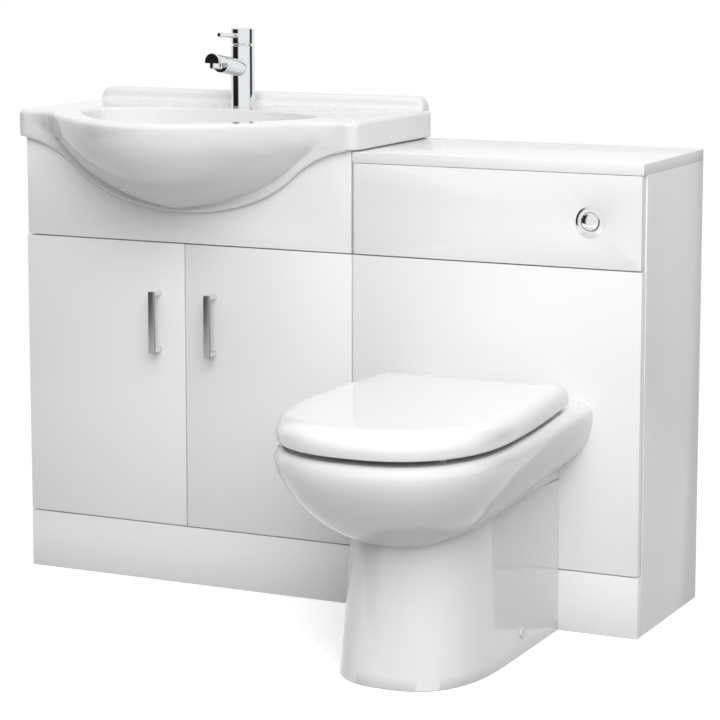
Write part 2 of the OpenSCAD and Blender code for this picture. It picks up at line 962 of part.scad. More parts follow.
// horseshoe plate and nut that clamp the tap under the basin
module tap_nut() {
  color(zinc_grey)
    place() {
      at_tap(rim_top - deck_t - horseshoe_t)
        difference() {
          cylinder(r = tap_hole_d / 2 + 7.5, h = horseshoe_t);
          translate([-14, -2, -eps])
            cube([28, 40, horseshoe_t + 2 * eps]);
          translate([0, stud_y, -eps])
            cylinder(r = stud_r + bore_gap, h = horseshoe_t + 2 * eps);
        }
      at_tap(rim_top - deck_t - horseshoe_t - nut_h)
        translate([0, stud_y, 0])
          difference() {
            cylinder(r = 2 * stud_r, h = nut_h, $fn = 6);
            translate([0, 0, -eps])
              cylinder(r = stud_r + bore_gap, h = nut_h + 2 * eps);
          }
    }
}

module tap_cartridge() {
  color(plastic_white)
    place()
      at_tap(rim_top + tap_h - 30)
        difference() {
          cylinder(r = cartridge_r - bore_gap, h = 30);
          translate([0, 0, 22])
            cylinder(r = 7, h = 10);
        }
}

// stem and cross pin that the cap tilts on
module tap_spindle() {
  color(zinc_grey)
    place() {
      at_tap(rim_top + tap_h - 8 + seat_gap)
        cylinder(r = 7 - bore_gap, h = 9);
      at_tap(rim_top + tap_h)
        cylinder(r = 5, h = lever_z - rim_top - tap_h + 2 * pin_end_r);
      at_tap(lever_z)
        bar_x(pin_end_r, -cross_pin_x, cross_pin_x);
    }
}

// hollow cap, cut back behind the pivot so that it can tilt, with the lever pin in its front
module tap_cap() {
  color(chrome)
    place()
      at_tap(0)
        difference() {
          union() {
            translate([0, 0, cap_z])
              cylinder(r1 = tap_r - 1, r2 = tap_r, h = 1);
            translate([0, 0, cap_z + 1])
              cylinder(r = tap_r, h = cap_h - 3);
            translate([0, 0, cap_z + cap_h - 2])
              cylinder(r1 = tap_r, r2 = tap_r - 3, h = 2);
            translate([0, 0, lever_z])
              rotate([-lever_rise, 0, 0])
                bar_y(lever_d / 2, -lever_reach, -tap_r + 3);
          }
          translate([0, 0, cap_z - eps])
            cylinder(r = tap_r - 3.5, h = cap_h - 4 + eps);
          translate([0, 0, lever_z])
            bar_x(pin_end_r + bore_gap, -cross_pin_x - seat_gap, cross_pin_x + seat_gap);
          translate([-tap_r - 1, 0, cap_z - 0.5])
            rotate([lever_lift, 0, 0])
              translate([0, 0, -20])
                cube([2 * tap_r + 2, 2 * tap_r, 20]);
        }
}

// ---------------------------------------------------------------- toilet unit

module wc_side(x) {
  translate([x, carcass_y, 0])
    cube([board_t, unit_d - carcass_y, wc_side_h]);
}

module wc_left_side() {
  color(board_white)
    place()
      difference() {
        wc_side(vanity_w);
        joint_bores(vanity_w);
      }
}

module wc_right_side() {
  color(board_white)
    place()
      wc_side(unit_w - board_t);
}

module wc_back_rails() {
  color(board_white)
    place()
      back_rails(vanity_w, wc_w, [wc_low_rail_z, wc_side_h - rail_h]);
}

module wc_front_rail() {
  color(board_white)
    place()
      front_rail(vanity_w, wc_w);
}

module wc_worktop() {
  color(board_white)
    place()
      translate([vanity_w, 0, wc_side_h])
        cube([wc_w, unit_d, worktop_t]);
}

module wc_upper_panel() {
  color(board_white)
    place()
      difference() {
        translate([vanity_w + fascia_inset - 0.5, 0, split_h + front_gap / 2])
          cube([wc_w - 2 * fascia_inset + 0.5, board_t, wc_side_h - split_h - front_gap / 2 - 0.8]);
        translate([button_x, 0, button_z])
          bar_y(sleeve_r + 0.5, -eps, board_t + eps);
      }
}

module wc_lower_panel() {
  color(board_white)
    place()
      difference() {
        translate([vanity_w + front_gap / 2, 0, plinth_h + front_gap / 2])
          cube([wc_w - front_gap, board_t, split_h - plinth_h - front_gap]);
        translate([pan_x, 0, soil_z])
          bar_y(spigot_d / 2 + 5, -eps, board_t + eps);
        translate([pan_x, 0, inlet_z])
          bar_y(flush_pipe_d / 2 + 8, -eps, board_t + eps);
      }
}

module wc_plinth() {
  color(board_white)
    place()
      plinth(vanity_w, wc_w);
}

module cistern_tank() {
  color(plastic_white)
    place()
      difference() {
        translate([pan_x - tank_w / 2, tank_y0, tank_z])
          cube([tank_w, tank_d, tank_h]);
        translate([pan_x - tank_w / 2 + tank_wall, tank_y0 + tank_wall, tank_z + tank_wall])
          cube([tank_w - 2 * tank_wall, tank_d - 2 * tank_wall, tank_h]);
        translate([pan_x, valve_y, tank_z - eps])
          cylinder(r = seat_hole_d / 2 + bore_gap, h = tank_wall + 2 * eps);
        translate([fill_x, valve_y, tank_z - eps])
          cylinder(r = tail_r + bore_gap, h = tank_wall + 2 * eps);
      }
}

module cistern_cover() {
  color(plastic_white)
    place()
      translate([pan_x - tank_w / 2, tank_y0, tank_z + tank_h])
        difference() {
          cube([tank_w, tank_d, 3]);
          translate([tank_w / 2 - 25, tank_d / 2 - 25, -eps])
            cube([50, 50, 3 + 2 * eps]);
        }
}

module at_valve(z) {
  translate([pan_x, valve_y, z])
    children();
}

valve_floor = tank_z + tank_wall;

module flush_tower() {
  color(plastic_white)
    place()
      difference() {
        union() {
          at_valve(valve_floor)
            cylinder(r = tower_r + 6, h = 5);
          at_valve(valve_floor)
            cylinder(r = tower_r, h = tower_h);
        }
        at_valve(valve_floor - eps)
          cylinder(r = seat_hole_d / 2 - 3, h = 20);
        at_valve(valve_floor + 5)
          cylinder(r = tower_r - 2, h = tower_h);
        for (s = [-1, 1])
          at_valve(valve_floor + 20)
            translate([s * tower_r - 8, -12, 0])
              cube([16, 24, 40]);
      }
}

module flush_plunger() {
  color(rubber_dark)
    place() {
      at_valve(valve_floor + 5 + seat_gap)
        cylinder(r = tower_r - 2.5, h = 8);
      at_valve(valve_floor + 5 + seat_gap)
        cylinder(r = 8, h = tower_h - 20);
    }
}

fill_h = 200;
tail_r = 10;
tail_len = 30;
column_r = 12;
arm_offset = 16;
arm_x = fill_x - arm_offset;
arm_z = valve_floor + 150;
arm_drop = 25;
arm_t = 6;
ear_t = 5;

module fill_valve() {
  color(plastic_white)
    place()
      translate([fill_x, valve_y, 0])
        difference() {
          union() {
            translate([0, 0, tank_z - tail_len])
              cylinder(r = tail_r, h = tail_len + 20);
            translate([0, 0, tank_z - nut_h - seat_gap])
              cylinder(r = 1.7 * tail_r, h = nut_h, $fn = 6);
            translate([0, 0, valve_floor])
              cylinder(r = column_r + 5, h = 6);
            translate([0, 0, valve_floor])
              cylinder(r = column_r, h = fill_h);
            for (y = [-arm_t / 2 - 1 - ear_t, arm_t / 2 + 1])
              translate([-arm_offset - 4, y, arm_z - 12])
                cube([arm_offset + 4, ear_t, 24]);
          }
          translate([0, 0, tank_z - tail_len - eps])
            cylinder(r = tail_r - 4, h = tail_len + 40);
          translate([-arm_offset, 0, arm_z])
            bar_y(pin_end_r + bore_gap, -10, 10);
        }
}

// arm and float, shown lowered on its stop
module float_arm() {
  color(plastic_white)
    place()
      translate([arm_x, valve_y, arm_z]) {
        bar_y(pin_end_r, -arm_t / 2 - ear_t - 1, arm_t / 2 + ear_t + 1);
        bar_y(arm_t / 2, -arm_t / 2, arm_t / 2);
        rotate([0, -arm_drop, 0]) {
          translate([-60, -arm_t / 2, -arm_t / 2])
            cube([60, arm_t, arm_t]);
          translate([-90, -25, -28])
            cube([36, 50, 56]);
        }
      }
}

// a bend in the plane of Y and Z, by its middle, its radius and its two angles from Y
module bend(y, z, turn_r, r, a0, a1) {
  translate([0, y, z])
    rotate([90, 0, 90])
      rotate([0, 0, a0])
        rotate_extrude(angle = a1 - a0)
          translate([turn_r, 0])
            circle(r = r);
}

flush_bend_r = 46;
flush_r = flush_pipe_d / 2;
cone_t = 5.5;

module flush_line(r, y0, z1) {
  bar_len = valve_y - flush_bend_r - y0;
  translate([0, 0, inlet_z])
    bar_y(r, y0, y0 + bar_len);
  bend(valve_y - flush_bend_r, inlet_z + flush_bend_r, flush_bend_r, r, 270, 360);
  translate([0, valve_y, inlet_z + flush_bend_r])
    cylinder(r = r, h = z1 - inlet_z - flush_bend_r);
}

module flush_pipe() {
  color(plastic_white)
    place()
      translate([pan_x, 0, 0])
        difference() {
          flush_line(flush_r, -20, valve_floor);
          flush_line(flush_r - 3, -21, valve_floor + 1);
        }
}

// rubber cone between the flush pipe and the pan's inlet
module flush_cone() {
  color(rubber_dark)
    place()
      translate([pan_x, 0, inlet_z])
        difference() {
          bar_y(flush_r + cone_t - bore_gap, -34, 0);
          bar_y(flush_r + bore_gap, -35, eps);
        }
}

module pan_connector() {
  color(plastic_white)
    place()
      translate([pan_x, 0, soil_z])
        difference() {
          union() {
            bar_y(spigot_d / 2 + 6, 24, 84);
            bar_y(soil_pipe_d / 2, 80, unit_d);
            bar_y(soil_pipe_d / 2 + bead_h, unit_d - outlet_len - bead_t, unit_d - outlet_len);
          }
          bar_y(spigot_d / 2 + bore_gap, 20, 64);
          bar_y(spigot_d / 2 - 4, 60, unit_d + eps);
        }
}

module button_bezel() {
  color(chrome)
    place()
      translate([button_x, 0, button_z])
        difference() {
          union() {
            bar_y(button_flange_d / 2, -2.5, 0);
            bar_y(button_flange_d / 2 - 3, -4, -2);
            bar_y(sleeve_r, -1, board_t + 40);
            bar_y(sleeve_r + 6, board_t, board_t + 7);
          }
          bar_y(button_d / 2 + bore_gap, -5, board_t + button_travel + 4);
          bar_y(4 + bore_gap, board_t + button_travel, board_t + 45);
        }
}

module flush_button() {
  color(chrome)
    place()
      translate([button_x, 0, button_z]) {
        bar_y(button_d / 2, -4.5, board_t);
        translate([0, -4.5, 0])
          rotate([90, 0, 0])
            cylinder(r1 = button_d / 2, r2 = button_d / 2 - 3, h = 1.5);
        bar_y(4, board_t - 1, board_t + 40 - button_travel);
      }
}

// ---------------------------------------------------------------- pan

function nose_run(w, ys, yf, n) = [for (i = [0:nose_n])
  let (c = cos(180 * i / nose_n), s = sin(180 * i / nose_n))
  [-w * sign(c) * pow(abs(c), 2 / n), ys - (ys - yf) * pow(abs(s), 2 / n)]];
function flank_run(w, wr, ys, yr) = [for (k = [1:flank_n]) let (s = 1 - k / flank_n)
  [wr + (w - wr) * sin(90 * s), yr + (ys - yr) * s]];
function round_run(w, ys, yr, n) = [for (k = [1:flank_n]) let (a = 86 * k / flank_n)
  [w * pow(cos(a), 2 / n), ys + (yr - ys) * pow(sin(a), 2 / n)]];
function d_shape(w, wr, yr, ys, yf, n) =
  let (side = flank_run(w, wr, ys, yr)) concat(nose_run(w, ys, yf, n), side, mirrored(side));
function egg(w, yr, ys, yf, n) =
  let (side = round_run(w, ys, yr, n)) concat(nose_run(w, ys, yf, n), side, mirrored(side));

// height on a level that follows the rim by the given share
function rim_height(z, y, share) = z + share * rim_rise * (y + rim_reach);
function pan_ring(outline, z, share) =
  [for (p = outline) [pan_x + p[0], p[1], rim_height(z, p[1], share)]];

wide_z = rim_z - 18;
cap_y = 155;
fixing_z = 35;
foot_taper = 12;
cap_pin_r = 4;
cap_x = foot_w - foot_taper * fixing_z / crease_z;
foot_top_reach = foot_reach - 30;
rear_w = 171;

function pan_section(z) =
  z <= crease_z
    ? d_shape(foot_w - foot_taper * z / crease_z, foot_w - 2, 0, -230,
        -foot_reach + 30 * z / crease_z, 2.6)
    : let (t = min(1, (z - crease_z) / (wide_z - crease_z)),
           e = pow(1 - pow(1 - t, 2), 0.75),
           up = max(0, (z - wide_z) / (rim_z - wide_z)),
           w = foot_w - foot_taper + (pan_w - foot_w + foot_taper) * e - 8 * up * up,
           wr = foot_w - 2 + (rear_w - foot_w + 2) * sqrt(max(0, 1 - pow((wide_z - z) / 100, 2)))
             - 18 * up * up)
      d_shape(w, min(wr, w), 0, -230 - 110 * e,
        -foot_top_reach - (rim_reach + 8 - foot_top_reach) * e + 8 * up * up, 2.6 - 0.2 * e);

function follow(z) = max(0, min(1, (z - crease_z - 50) / (rim_z - crease_z - 50)));

module pan_shell() {
  rim_w = pan_w - 8;
  loft(concat(
    [for (z = [0, 70, 140, crease_z]) pan_ring(pan_section(z), z, 0)],
    [for (f = [0.02, 0.07, 0.14, 0.23, 0.34, 0.46, 0.6, 0.74, 0.88, 1])
      let (z = crease_z + f * (wide_z - crease_z)) pan_ring(pan_section(z), z, follow(z))],
    [for (f = [0.5, 0.8, 1]) let (z = wide_z + f * (rim_z - 3 - wide_z))
      pan_ring(pan_section(z), z, 1)],
    [pan_ring(d_shape(rim_w - 4, rear_w - 24, -3, nose_y, -rim_reach + 4, bowl_n), rim_z, 1)],
    [pan_ring(egg(pan_bowl_w + 3, -147, -310, -rim_reach + 42, 2.2), rim_z, 1)],
    [pan_ring(egg(pan_bowl_w, -150, -310, -rim_reach + 46, 2.2), rim_z - 5, 1)],
    [pan_ring(egg(pan_bowl_w - 4, -156, -306, -465, 2.2), rim_z - 52, 0.8)],
    [pan_ring(egg(pan_bowl_w - 18, -168, -298, -436, 2.1), rim_z - 97, 0.4)],
    [pan_ring(egg(pan_bowl_w - 40, -185, -285, -395, 2), rim_z - 137, 0)],
    [pan_ring(egg(56, -212, -272, -338, 2), bend_z + 41.3, 0)],
    [pan_ring(egg(trap_r + 4, -226, -266, -306, 2), bend_z + 19.3, 0)],
    [pan_ring(egg(trap_r, -229.3, bend_y, bend_y - trap_r, 2), bend_z, 0)]
  ));
}

// water way from the sump, down, up over the weir and back to the outlet, in the plane of Y and Z
weir_r = 55;
weir_a = 50;
weir_y = bend_y + 2 * bend_r + weir_r;
outfall_y = weir_y + 2 * weir_r * cos(weir_a);
outfall_z = bend_z + 2 * weir_r * sin(weir_a);

// a station of the water way: middle of its section, and the direction it faces, in degrees from Y
function arc_stations(y, z, r, a0, a1, n, turn) = [for (k = [0:n]) let (a = a0 + (a1 - a0) * k / n)
  [y + r * cos(a), z + r * sin(a), a + turn]];
way_stations = concat(
  [[bend_y, bend_z + 25, -90]],
  arc_stations(bend_y + bend_r, bend_z, bend_r, 180, 360, 12, 90),
  [for (k = [1:8]) arc_stations(weir_y, bend_z, weir_r, 180, weir_a, 8, -90)[k]],
  [for (k = [1:3]) arc_stations(outfall_y, outfall_z, weir_r, 180 + weir_a, 270, 3, 90)[k]],
  [[5, soil_z, 0]]
);
function way_ring(station, r) = [for (j = [0:23]) let (a = 15 * j, h = r * cos(a))
  [r * sin(a), station[0] - h * sin(station[2]), station[1] + h * cos(station[2])]];

module trap_way(r) {
  loft([for (st = way_stations) way_ring(st, r)]);
}

module pan_foot_hollow() {
  wall = 14;
  difference() {
    translate([0, 0, -eps])
      linear_extrude(crease_z - 35)
        polygon(d_shape(foot_w - foot_taper - wall, foot_w - foot_taper - wall, -wall, -230,
          -foot_top_reach + wall, 2.6));
    translate([-trap_r - trap_wall, bend_y - trap_r - trap_wall, -1])
      cube([2 * (trap_r + trap_wall), -bend_y + trap_r + trap_wall + 1, crease_z]);
  }
}

module pan() {
  color(ceramic_white)
    place()
      difference() {
        union() {
          pan_shell();
          translate([pan_x, 0, soil_z])
            bar_y(spigot_d / 2, -30, 60);
        }
        translate([pan_x, 0, 0]) {
          pan_foot_hollow();
          trap_way(trap_r);
          translate([0, 0, soil_z])
            bar_y(spigot_d / 2 - 9, -20, 60 + eps);
          translate([0, 0, inlet_z])
            bar_y(flush_r + cone_t, -60, eps);
          translate([0, 0, inlet_z])
            bar_y(flush_r - 4, -175, -55);
        }
        for (s = [-1, 1])
          translate([pan_x + s * hinge_x, -hinge_y, rim_z - 30])
            cylinder(r = 6 + bore_gap, h = 60);
        for (s = [-1, 1])
          translate([pan_x, -cap_y, fixing_z])
            scale([s, 1, 1]) {
              bar_x(cap_pin_r + bore_gap, cap_x - 16, cap_x + 10);
              bar_x(2 * cap_pin_r + seat_gap, cap_x, cap_x + 10);
            }
      }
}

module pan_fixing_caps() {
  color(plastic_white)
    place()
      for (s = [-1, 1])
        translate([pan_x, -cap_y, fixing_z])
          scale([s, 1, 1]) {
            bar_x(cap_pin_r, cap_x - 14, cap_x + 2);
            bar_x(2 * cap_pin_r, cap_x + seat_gap, cap_x + 3);
          }
}

// ---------------------------------------------------------------- seat

// the seat is drawn level about its hinge axis, then tilted onto the sloping rim
module at_seat() {
  translate([pan_x, -hinge_y, hinge_z0])
    rotate([seat_tilt, 0, 0])
      children();
}

// height of the rim below the hinge axis, at a distance back along the level seat
function rim_below(y) = -hinge_lift + (rim_rise - tan(seat_tilt)) * y;

module seat_hinge_posts() {
  color(chrome)
    place()
      translate([pan_x, -hinge_y, hinge_z0])
        for (s = [-1, 1])
          scale([s, 1, 1]) {
            translate([hinge_x - 7, 0, 0])
              bar_x(lug_r, 0, 14);
            translate([hinge_x - 7, -lug_r, -hinge_lift + 0.6])
              cube([14, lug_r + 6, hinge_lift - 0.6]);
            translate([hinge_x, 0, -hinge_lift - 24])
              cylinder(r = 6, h = 30);
            bar_x(pin_r, hinge_x - 28, hinge_x + 29);
          }
}

ring_floor = -15;
ring_w = lid_w - 19;
ring_back = -15;
lid_floor = -14;
lid_ceiling = lid_floor + lid_h - 14;

function seat_ring_outline(f) =
  let (outer = d_shape(ring_w, ring_w - 8, ring_back, nose_y + hinge_y, -lid_nose + 19, bowl_n),
       inner = egg(seat_hole_w, ring_back - 85, -225, -lid_nose + 102, 2.2))
  [for (i = [0:len(outer) - 1]) inner[i] + f * (outer[i] - inner[i])];

function seat_level(outline, z) = [for (p = outline) [p[0], p[1], z]];

module ring_body() {
  profile = [
    [0.08, 0], [0.95, 0], [1, 3], [1, ring_t - 7], [0.94, ring_t - 2], [0.8, ring_t],
    [0.35, ring_t], [0.12, ring_t - 3], [0.02, ring_t - 8], [0, 5]
  ];
  loop_loft([for (p = profile) seat_level(seat_ring_outline(p[0]), ring_floor + p[1])]);
}

module seat_ring() {
  color(plastic_white)
    place()
      at_seat()
        difference() {
          union() {
            ring_body();
            for (s = [-1, 1])
              scale([s, 1, 1]) {
                translate([hinge_x - 27, 0, 0])
                  bar_x(lug_r - 0.5, 0, 19.5);
                translate([hinge_x - 27, ring_back - 15, -lug_r + 0.5])
                  cube([19.5, 15 - ring_back, lug_r + 2]);
              }
          }
          for (s = [-1, 1])
            scale([s, 1, 1])
              bar_x(pin_r + bore_gap, hinge_x - 28, hinge_x);
        }
}

ring_buffers_at = [[lid_w - 49, -60], [lid_w - 65, 87 - lid_nose]];

module ring_buffers() {
  color(plastic_white)
    place()
      at_seat()
        for (s = [-1, 1], p = ring_buffers_at)
          translate([s * p[0], p[1], rim_below(p[1]) + seat_gap])
            cylinder(r = 7, h = ring_floor - rim_below(p[1]) - seat_gap);
}

module lid_shell() {
  wall = 6;
  y_s = nose_y + hinge_y;
  outer = [
    [4, 4, 11, lid_floor], [1, 3, 11, lid_floor + 4], [0, 0, 9, 0], [3, 5, 4, lid_floor + lid_h * 0.6],
    [9, 12, -10, lid_floor + lid_h * 0.83], [16, 22, -30, lid_floor + lid_h * 0.93]
  ];
  inner = [[wall + 2, 7, -10, lid_ceiling], [wall, 6, 3, lid_floor + 6], [wall - 0.5, 5, 5, lid_floor]];
  crown = [[0.7, 0.985], [0.4, 0.997], [0.15, 1]];
  loft(concat(
    [for (f = [0.3, 0.7]) seat_level([for (p = d_shape(lid_w - wall - 2, lid_w - 30, -10, y_s,
      -lid_nose + 7, bowl_n)) [p[0] * f, y_s * 0.9 + (p[1] - y_s * 0.9) * f]], lid_ceiling)],
    [for (r = inner) seat_level(d_shape(lid_w - r[0], lid_w - 22 - r[0], r[2], y_s,
      -lid_nose + r[1], bowl_n), r[3])],
    [for (r = outer) seat_level(d_shape(lid_w - r[0], lid_w - 22 - r[0], r[2], y_s,
      -lid_nose + r[1], bowl_n), r[3])],
    [for (c = crown) seat_level([for (p = d_shape(lid_w - 16, lid_w - 38, -30, y_s,
      -lid_nose + 22, bowl_n)) [p[0] * c[0], y_s * 0.9 + (p[1] - y_s * 0.9) * c[0]]],
      lid_floor + lid_h * c[1])]
  ));
}

module seat_lid() {
  color(plastic_white)
    place()
      at_seat()
        difference() {
          union() {
            difference() {
              lid_shell();
              translate([-hinge_x - 32, -30, lid_floor - 1])
                cube([2 * hinge_x + 64, 60, 11 - lid_floor]);
            }
            for (s = [-1, 1])
              scale([s, 1, 1]) {
                translate([hinge_x + 7.5, 0, 0])
                  bar_x(lug_r, 0, 20);
                translate([hinge_x + 7.5, -lug_r, 0])
                  cube([20, 6, lid_ceiling + 1.5]);
              }
          }
          for (s = [-1, 1])
            scale([s, 1, 1])
              bar_x(pin_r + bore_gap, hinge_x, hinge_x + 30);
        }
}

module lid_buffers() {
  color(plastic_white)
    place()
      at_seat()
        for (s = [-1, 1])
          translate([s * (lid_w - 57), 137 - lid_nose, ring_floor + ring_t + seat_gap])
            cylinder(r = 6, h = lid_ceiling - ring_floor - ring_t - seat_gap);
}

vanity_left_side();
vanity_right_side();
vanity_base();
vanity_back_rails();
vanity_front_rail();
vanity_fascia();
vanity_plinth();
left_door();
right_door();
left_handle();
right_handle();
left_handle_screws();
right_handle_screws();
left_hinge_cups();
right_hinge_cups();
hinge_arms();
door_bumpers();
joining_bolts();
basin();
overflow_ring();
basin_waste();
waste_washer();
waste_nut();
waste_plug();
bottle_trap();
waste_pipe();
tap_body();
tap_spout();
tap_aerator();
tap_stud();
tap_nut();
tap_cartridge();
tap_spindle();
tap_cap();
wc_left_side();
wc_right_side();
wc_back_rails();
wc_front_rail();
wc_worktop();
wc_upper_panel();
wc_lower_panel();
wc_plinth();
cistern_tank();
cistern_cover();
flush_tower();
flush_plunger();
fill_valve();
float_arm();
flush_pipe();
flush_cone();
pan_connector();
button_bezel();
flush_button();
pan();
pan_fixing_caps();
seat_hinge_posts();
seat_ring();
ring_buffers();
seat_lid();
lid_buffers();
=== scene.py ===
# %% [markdown]
# # A toilet and basin unit for a small bathroom
# The construction comes packed as a frame: every board, joint and fitting is already at its real
# size and place. This lesson gives that frame its looks. It skins the ceramic, the seat and the
# metal with smooth meshes, rounds the edges of the boards, and paints every surface.

# %% Load the frame
from math import atan, atan2, copysign, cos, exp, hypot, pi, radians, sin, sqrt, tan, tau

import bmesh
import bpy
from mathutils import Matrix, Vector


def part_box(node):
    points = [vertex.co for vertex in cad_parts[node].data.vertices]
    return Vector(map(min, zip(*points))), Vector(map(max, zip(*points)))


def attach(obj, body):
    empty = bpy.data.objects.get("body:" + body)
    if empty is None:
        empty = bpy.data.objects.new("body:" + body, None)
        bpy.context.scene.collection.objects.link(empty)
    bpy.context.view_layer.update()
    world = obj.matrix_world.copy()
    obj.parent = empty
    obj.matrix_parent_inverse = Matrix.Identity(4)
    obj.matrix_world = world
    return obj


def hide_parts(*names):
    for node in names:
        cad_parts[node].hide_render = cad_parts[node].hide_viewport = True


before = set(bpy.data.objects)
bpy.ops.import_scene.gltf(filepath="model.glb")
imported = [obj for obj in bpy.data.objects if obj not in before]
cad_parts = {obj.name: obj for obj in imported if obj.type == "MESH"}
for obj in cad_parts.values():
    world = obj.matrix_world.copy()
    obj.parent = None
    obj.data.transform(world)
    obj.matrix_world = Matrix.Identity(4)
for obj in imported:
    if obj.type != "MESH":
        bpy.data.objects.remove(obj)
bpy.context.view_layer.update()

# %% [markdown]
# Pieces are easiest to think of in millimetres from the vanity unit's left face, from the plane
# of the fixed fronts and from the floor, because that is how a fitter measures them. Blender works
# in metres about the frame's own origin. So each piece is shaped in millimetres about a handy
# point, and one helper scales it and puts it in place.

# %% Rulers
MM = 0.001
scene = bpy.context.scene
unit_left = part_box("vanity_left_side")[0].x
front_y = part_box("vanity_fascia")[0].y
wall_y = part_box("wc_worktop")[1].y


def size_mm(node):
    """Lowest and highest corner of a node, in millimetres on the fitter's rulers."""
    shift = Vector((unit_left, front_y, 0))
    low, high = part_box(node)
    return (low - shift) / MM, (high - shift) / MM


def middle_of(node):
    """The middle of a node's box, as x, y and z, and half its width."""
    low, high = size_mm(node)
    return [(a + b) / 2 for a, b in zip(low, high)], (high.x - low.x) / 2


def spot(x, y, z):
    """A point on the fitter's rulers, in the frame."""
    return Vector((unit_left + x * MM, front_y + y * MM, z * MM))


def in_scene(name, data):
    """An object with its data, in the scene."""
    piece = bpy.data.objects.new(name, data)
    scene.collection.objects.link(piece)
    return piece


def from_bmesh(name, bm):
    """An object with a bmesh's mesh. The bmesh is used up."""
    mesh = bpy.data.meshes.new(name)
    bm.to_mesh(mesh)
    bm.free()
    return in_scene(name, mesh)


UNIT_D = (wall_y - front_y) / MM
VANITY_W = size_mm("vanity_right_side")[1].x
VANITY_H = size_mm("vanity_left_side")[1].z
(BASIN_X, _, _), WING_X = middle_of("basin")
PAN_X = middle_of("pan")[0][0]
print("vanity", VANITY_W, "x", VANITY_H, "mm, depth", round(UNIT_D, 1))

# %% [markdown]
# The camera stands where the photographer's did: about four metres off, to the right, a little
# above the basin, with a long lens. A small upward shift of the frame keeps the cabinet's sides
# almost upright, as a product photographer would.

# %% Camera
CAMERA_SPOT = (2479.2, -3839.7, 1150.6)
CAMERA_YAW = 25.605
CAMERA_PITCH = 8.263
LENS_SHARE = 2636.2 / 720
FRAME_SHIFT = -0.1

camera = in_scene("camera", bpy.data.cameras.new("camera"))
camera.data.sensor_width = 36
camera.data.lens = LENS_SHARE * camera.data.sensor_width
camera.data.shift_y = FRAME_SHIFT
camera.data.clip_end = 60
camera.location = spot(*CAMERA_SPOT)
camera.rotation_euler = (radians(90 - CAMERA_PITCH), 0, radians(CAMERA_YAW))
scene.camera = camera
print("camera at", [round(v, 3) for v in camera.location], "lens", round(camera.data.lens, 1))

# %% [markdown]
# Every material below is a small tree of nodes. Three helpers keep those trees short: one feeds a
# node's inputs with values or links, one adds a node, and one adds a sum. A switch tells rays that
# show a surface, straight or in a reflection, from rays that only carry its light.

# %% Node helpers
def feed(tree, node, inputs):
    """Gives each named input its value, or links it to the output it comes from."""
    for key, value in inputs.items():
        if isinstance(value, bpy.types.NodeSocket):
            tree.links.new(value, node.inputs[key])
        else:
            node.inputs[key].default_value = value
    return node


def put(tree, kind, inputs={}, **settings):
    """Adds a node, sets its properties, and feeds it."""
    node = tree.nodes.new(kind)
    for key, value in settings.items():
        setattr(node, key, value)
    return feed(tree, node, inputs)


def calc(tree, operation, *values):
    """The output of a Math node."""
    return put(tree, "ShaderNodeMath", dict(enumerate(values)), operation=operation).outputs[0]


def seen_switch(tree):
    """One for camera, glossy and transmission rays, and zero for the rest."""
    path = put(tree, "ShaderNodeLightPath").outputs
    shown = calc(tree, "MAXIMUM", path["Is Camera Ray"], path["Is Glossy Ray"])
    return calc(tree, "MAXIMUM", shown, path["Is Transmission Ray"])


def new_material(name):
    """A material, with its tree and its Principled shader."""
    material = bpy.data.materials.new(name)
    material.use_nodes = True
    return material, material.node_tree, material.node_tree.nodes["Principled BSDF"]


print("node helpers: feed, put, calc, seen_switch, new_material")

# %% [markdown]
# Light is plain and soft. A white world shows white to the camera and in reflections, but lights
# the piece more gently and mostly from above, so that white ceramic keeps its shading. One large
# lamp stands in front, to the right and above. A weak one behind the camera lifts the fronts, and
# both leave what faces left or down dark, as in the photograph. Chrome needs something dark to
# reflect, so two black flags with soft ends curve round the set, where only reflections find them.

# %% Stage
SKY_LOW, SKY_HIGH = 0.08, 0.95
FLOOR_SIZE = 14
FLAG_R, FLAG_H, FLAG_SOFT = 2.4, 2.8, 16
FLAG_BLACK, FLAG_STEPS = 0.015, 24
LAMP_AIM = (0, 0, 0.45)
PURE_WHITE = (1, 1, 1, 1)
scene.view_settings.view_transform = "Standard"

world = bpy.data.worlds.new("studio")
scene.world = world
world.use_nodes = True
sky = world.node_tree
sky.nodes.clear()
direction = put(sky, "ShaderNodeTexCoord").outputs["Generated"]
upness = put(sky, "ShaderNodeSeparateXYZ", {0: direction}).outputs["Z"]
sky_ramp = put(sky, "ShaderNodeMapRange", {"Value": upness, "To Min": SKY_LOW, "To Max": SKY_HIGH})
lit = put(sky, "ShaderNodeBackground", {"Color": PURE_WHITE, "Strength": sky_ramp.outputs["Result"]})
seen = put(sky, "ShaderNodeBackground", {"Color": PURE_WHITE, "Strength": 1.0})
pick = put(sky, "ShaderNodeMixShader", {0: seen_switch(sky), 1: lit.outputs[0], 2: seen.outputs[0]})
put(sky, "ShaderNodeOutputWorld", {"Surface": pick.outputs[0]})

bm = bmesh.new()
bmesh.ops.create_grid(bm, x_segments=1, y_segments=1, size=FLOOR_SIZE / 2)
floor = from_bmesh("floor", bm)


def lamp(name, place, size, power):
    """A square soft lamp that leaves no highlight."""
    light = in_scene(name, bpy.data.lights.new(name, "AREA"))
    light.data.size = size
    light.data.energy = power
    light.location = place
    light.rotation_euler = (Vector(LAMP_AIM) - Vector(place)).to_track_quat("-Z", "Y").to_euler()
    light.visible_glossy = False


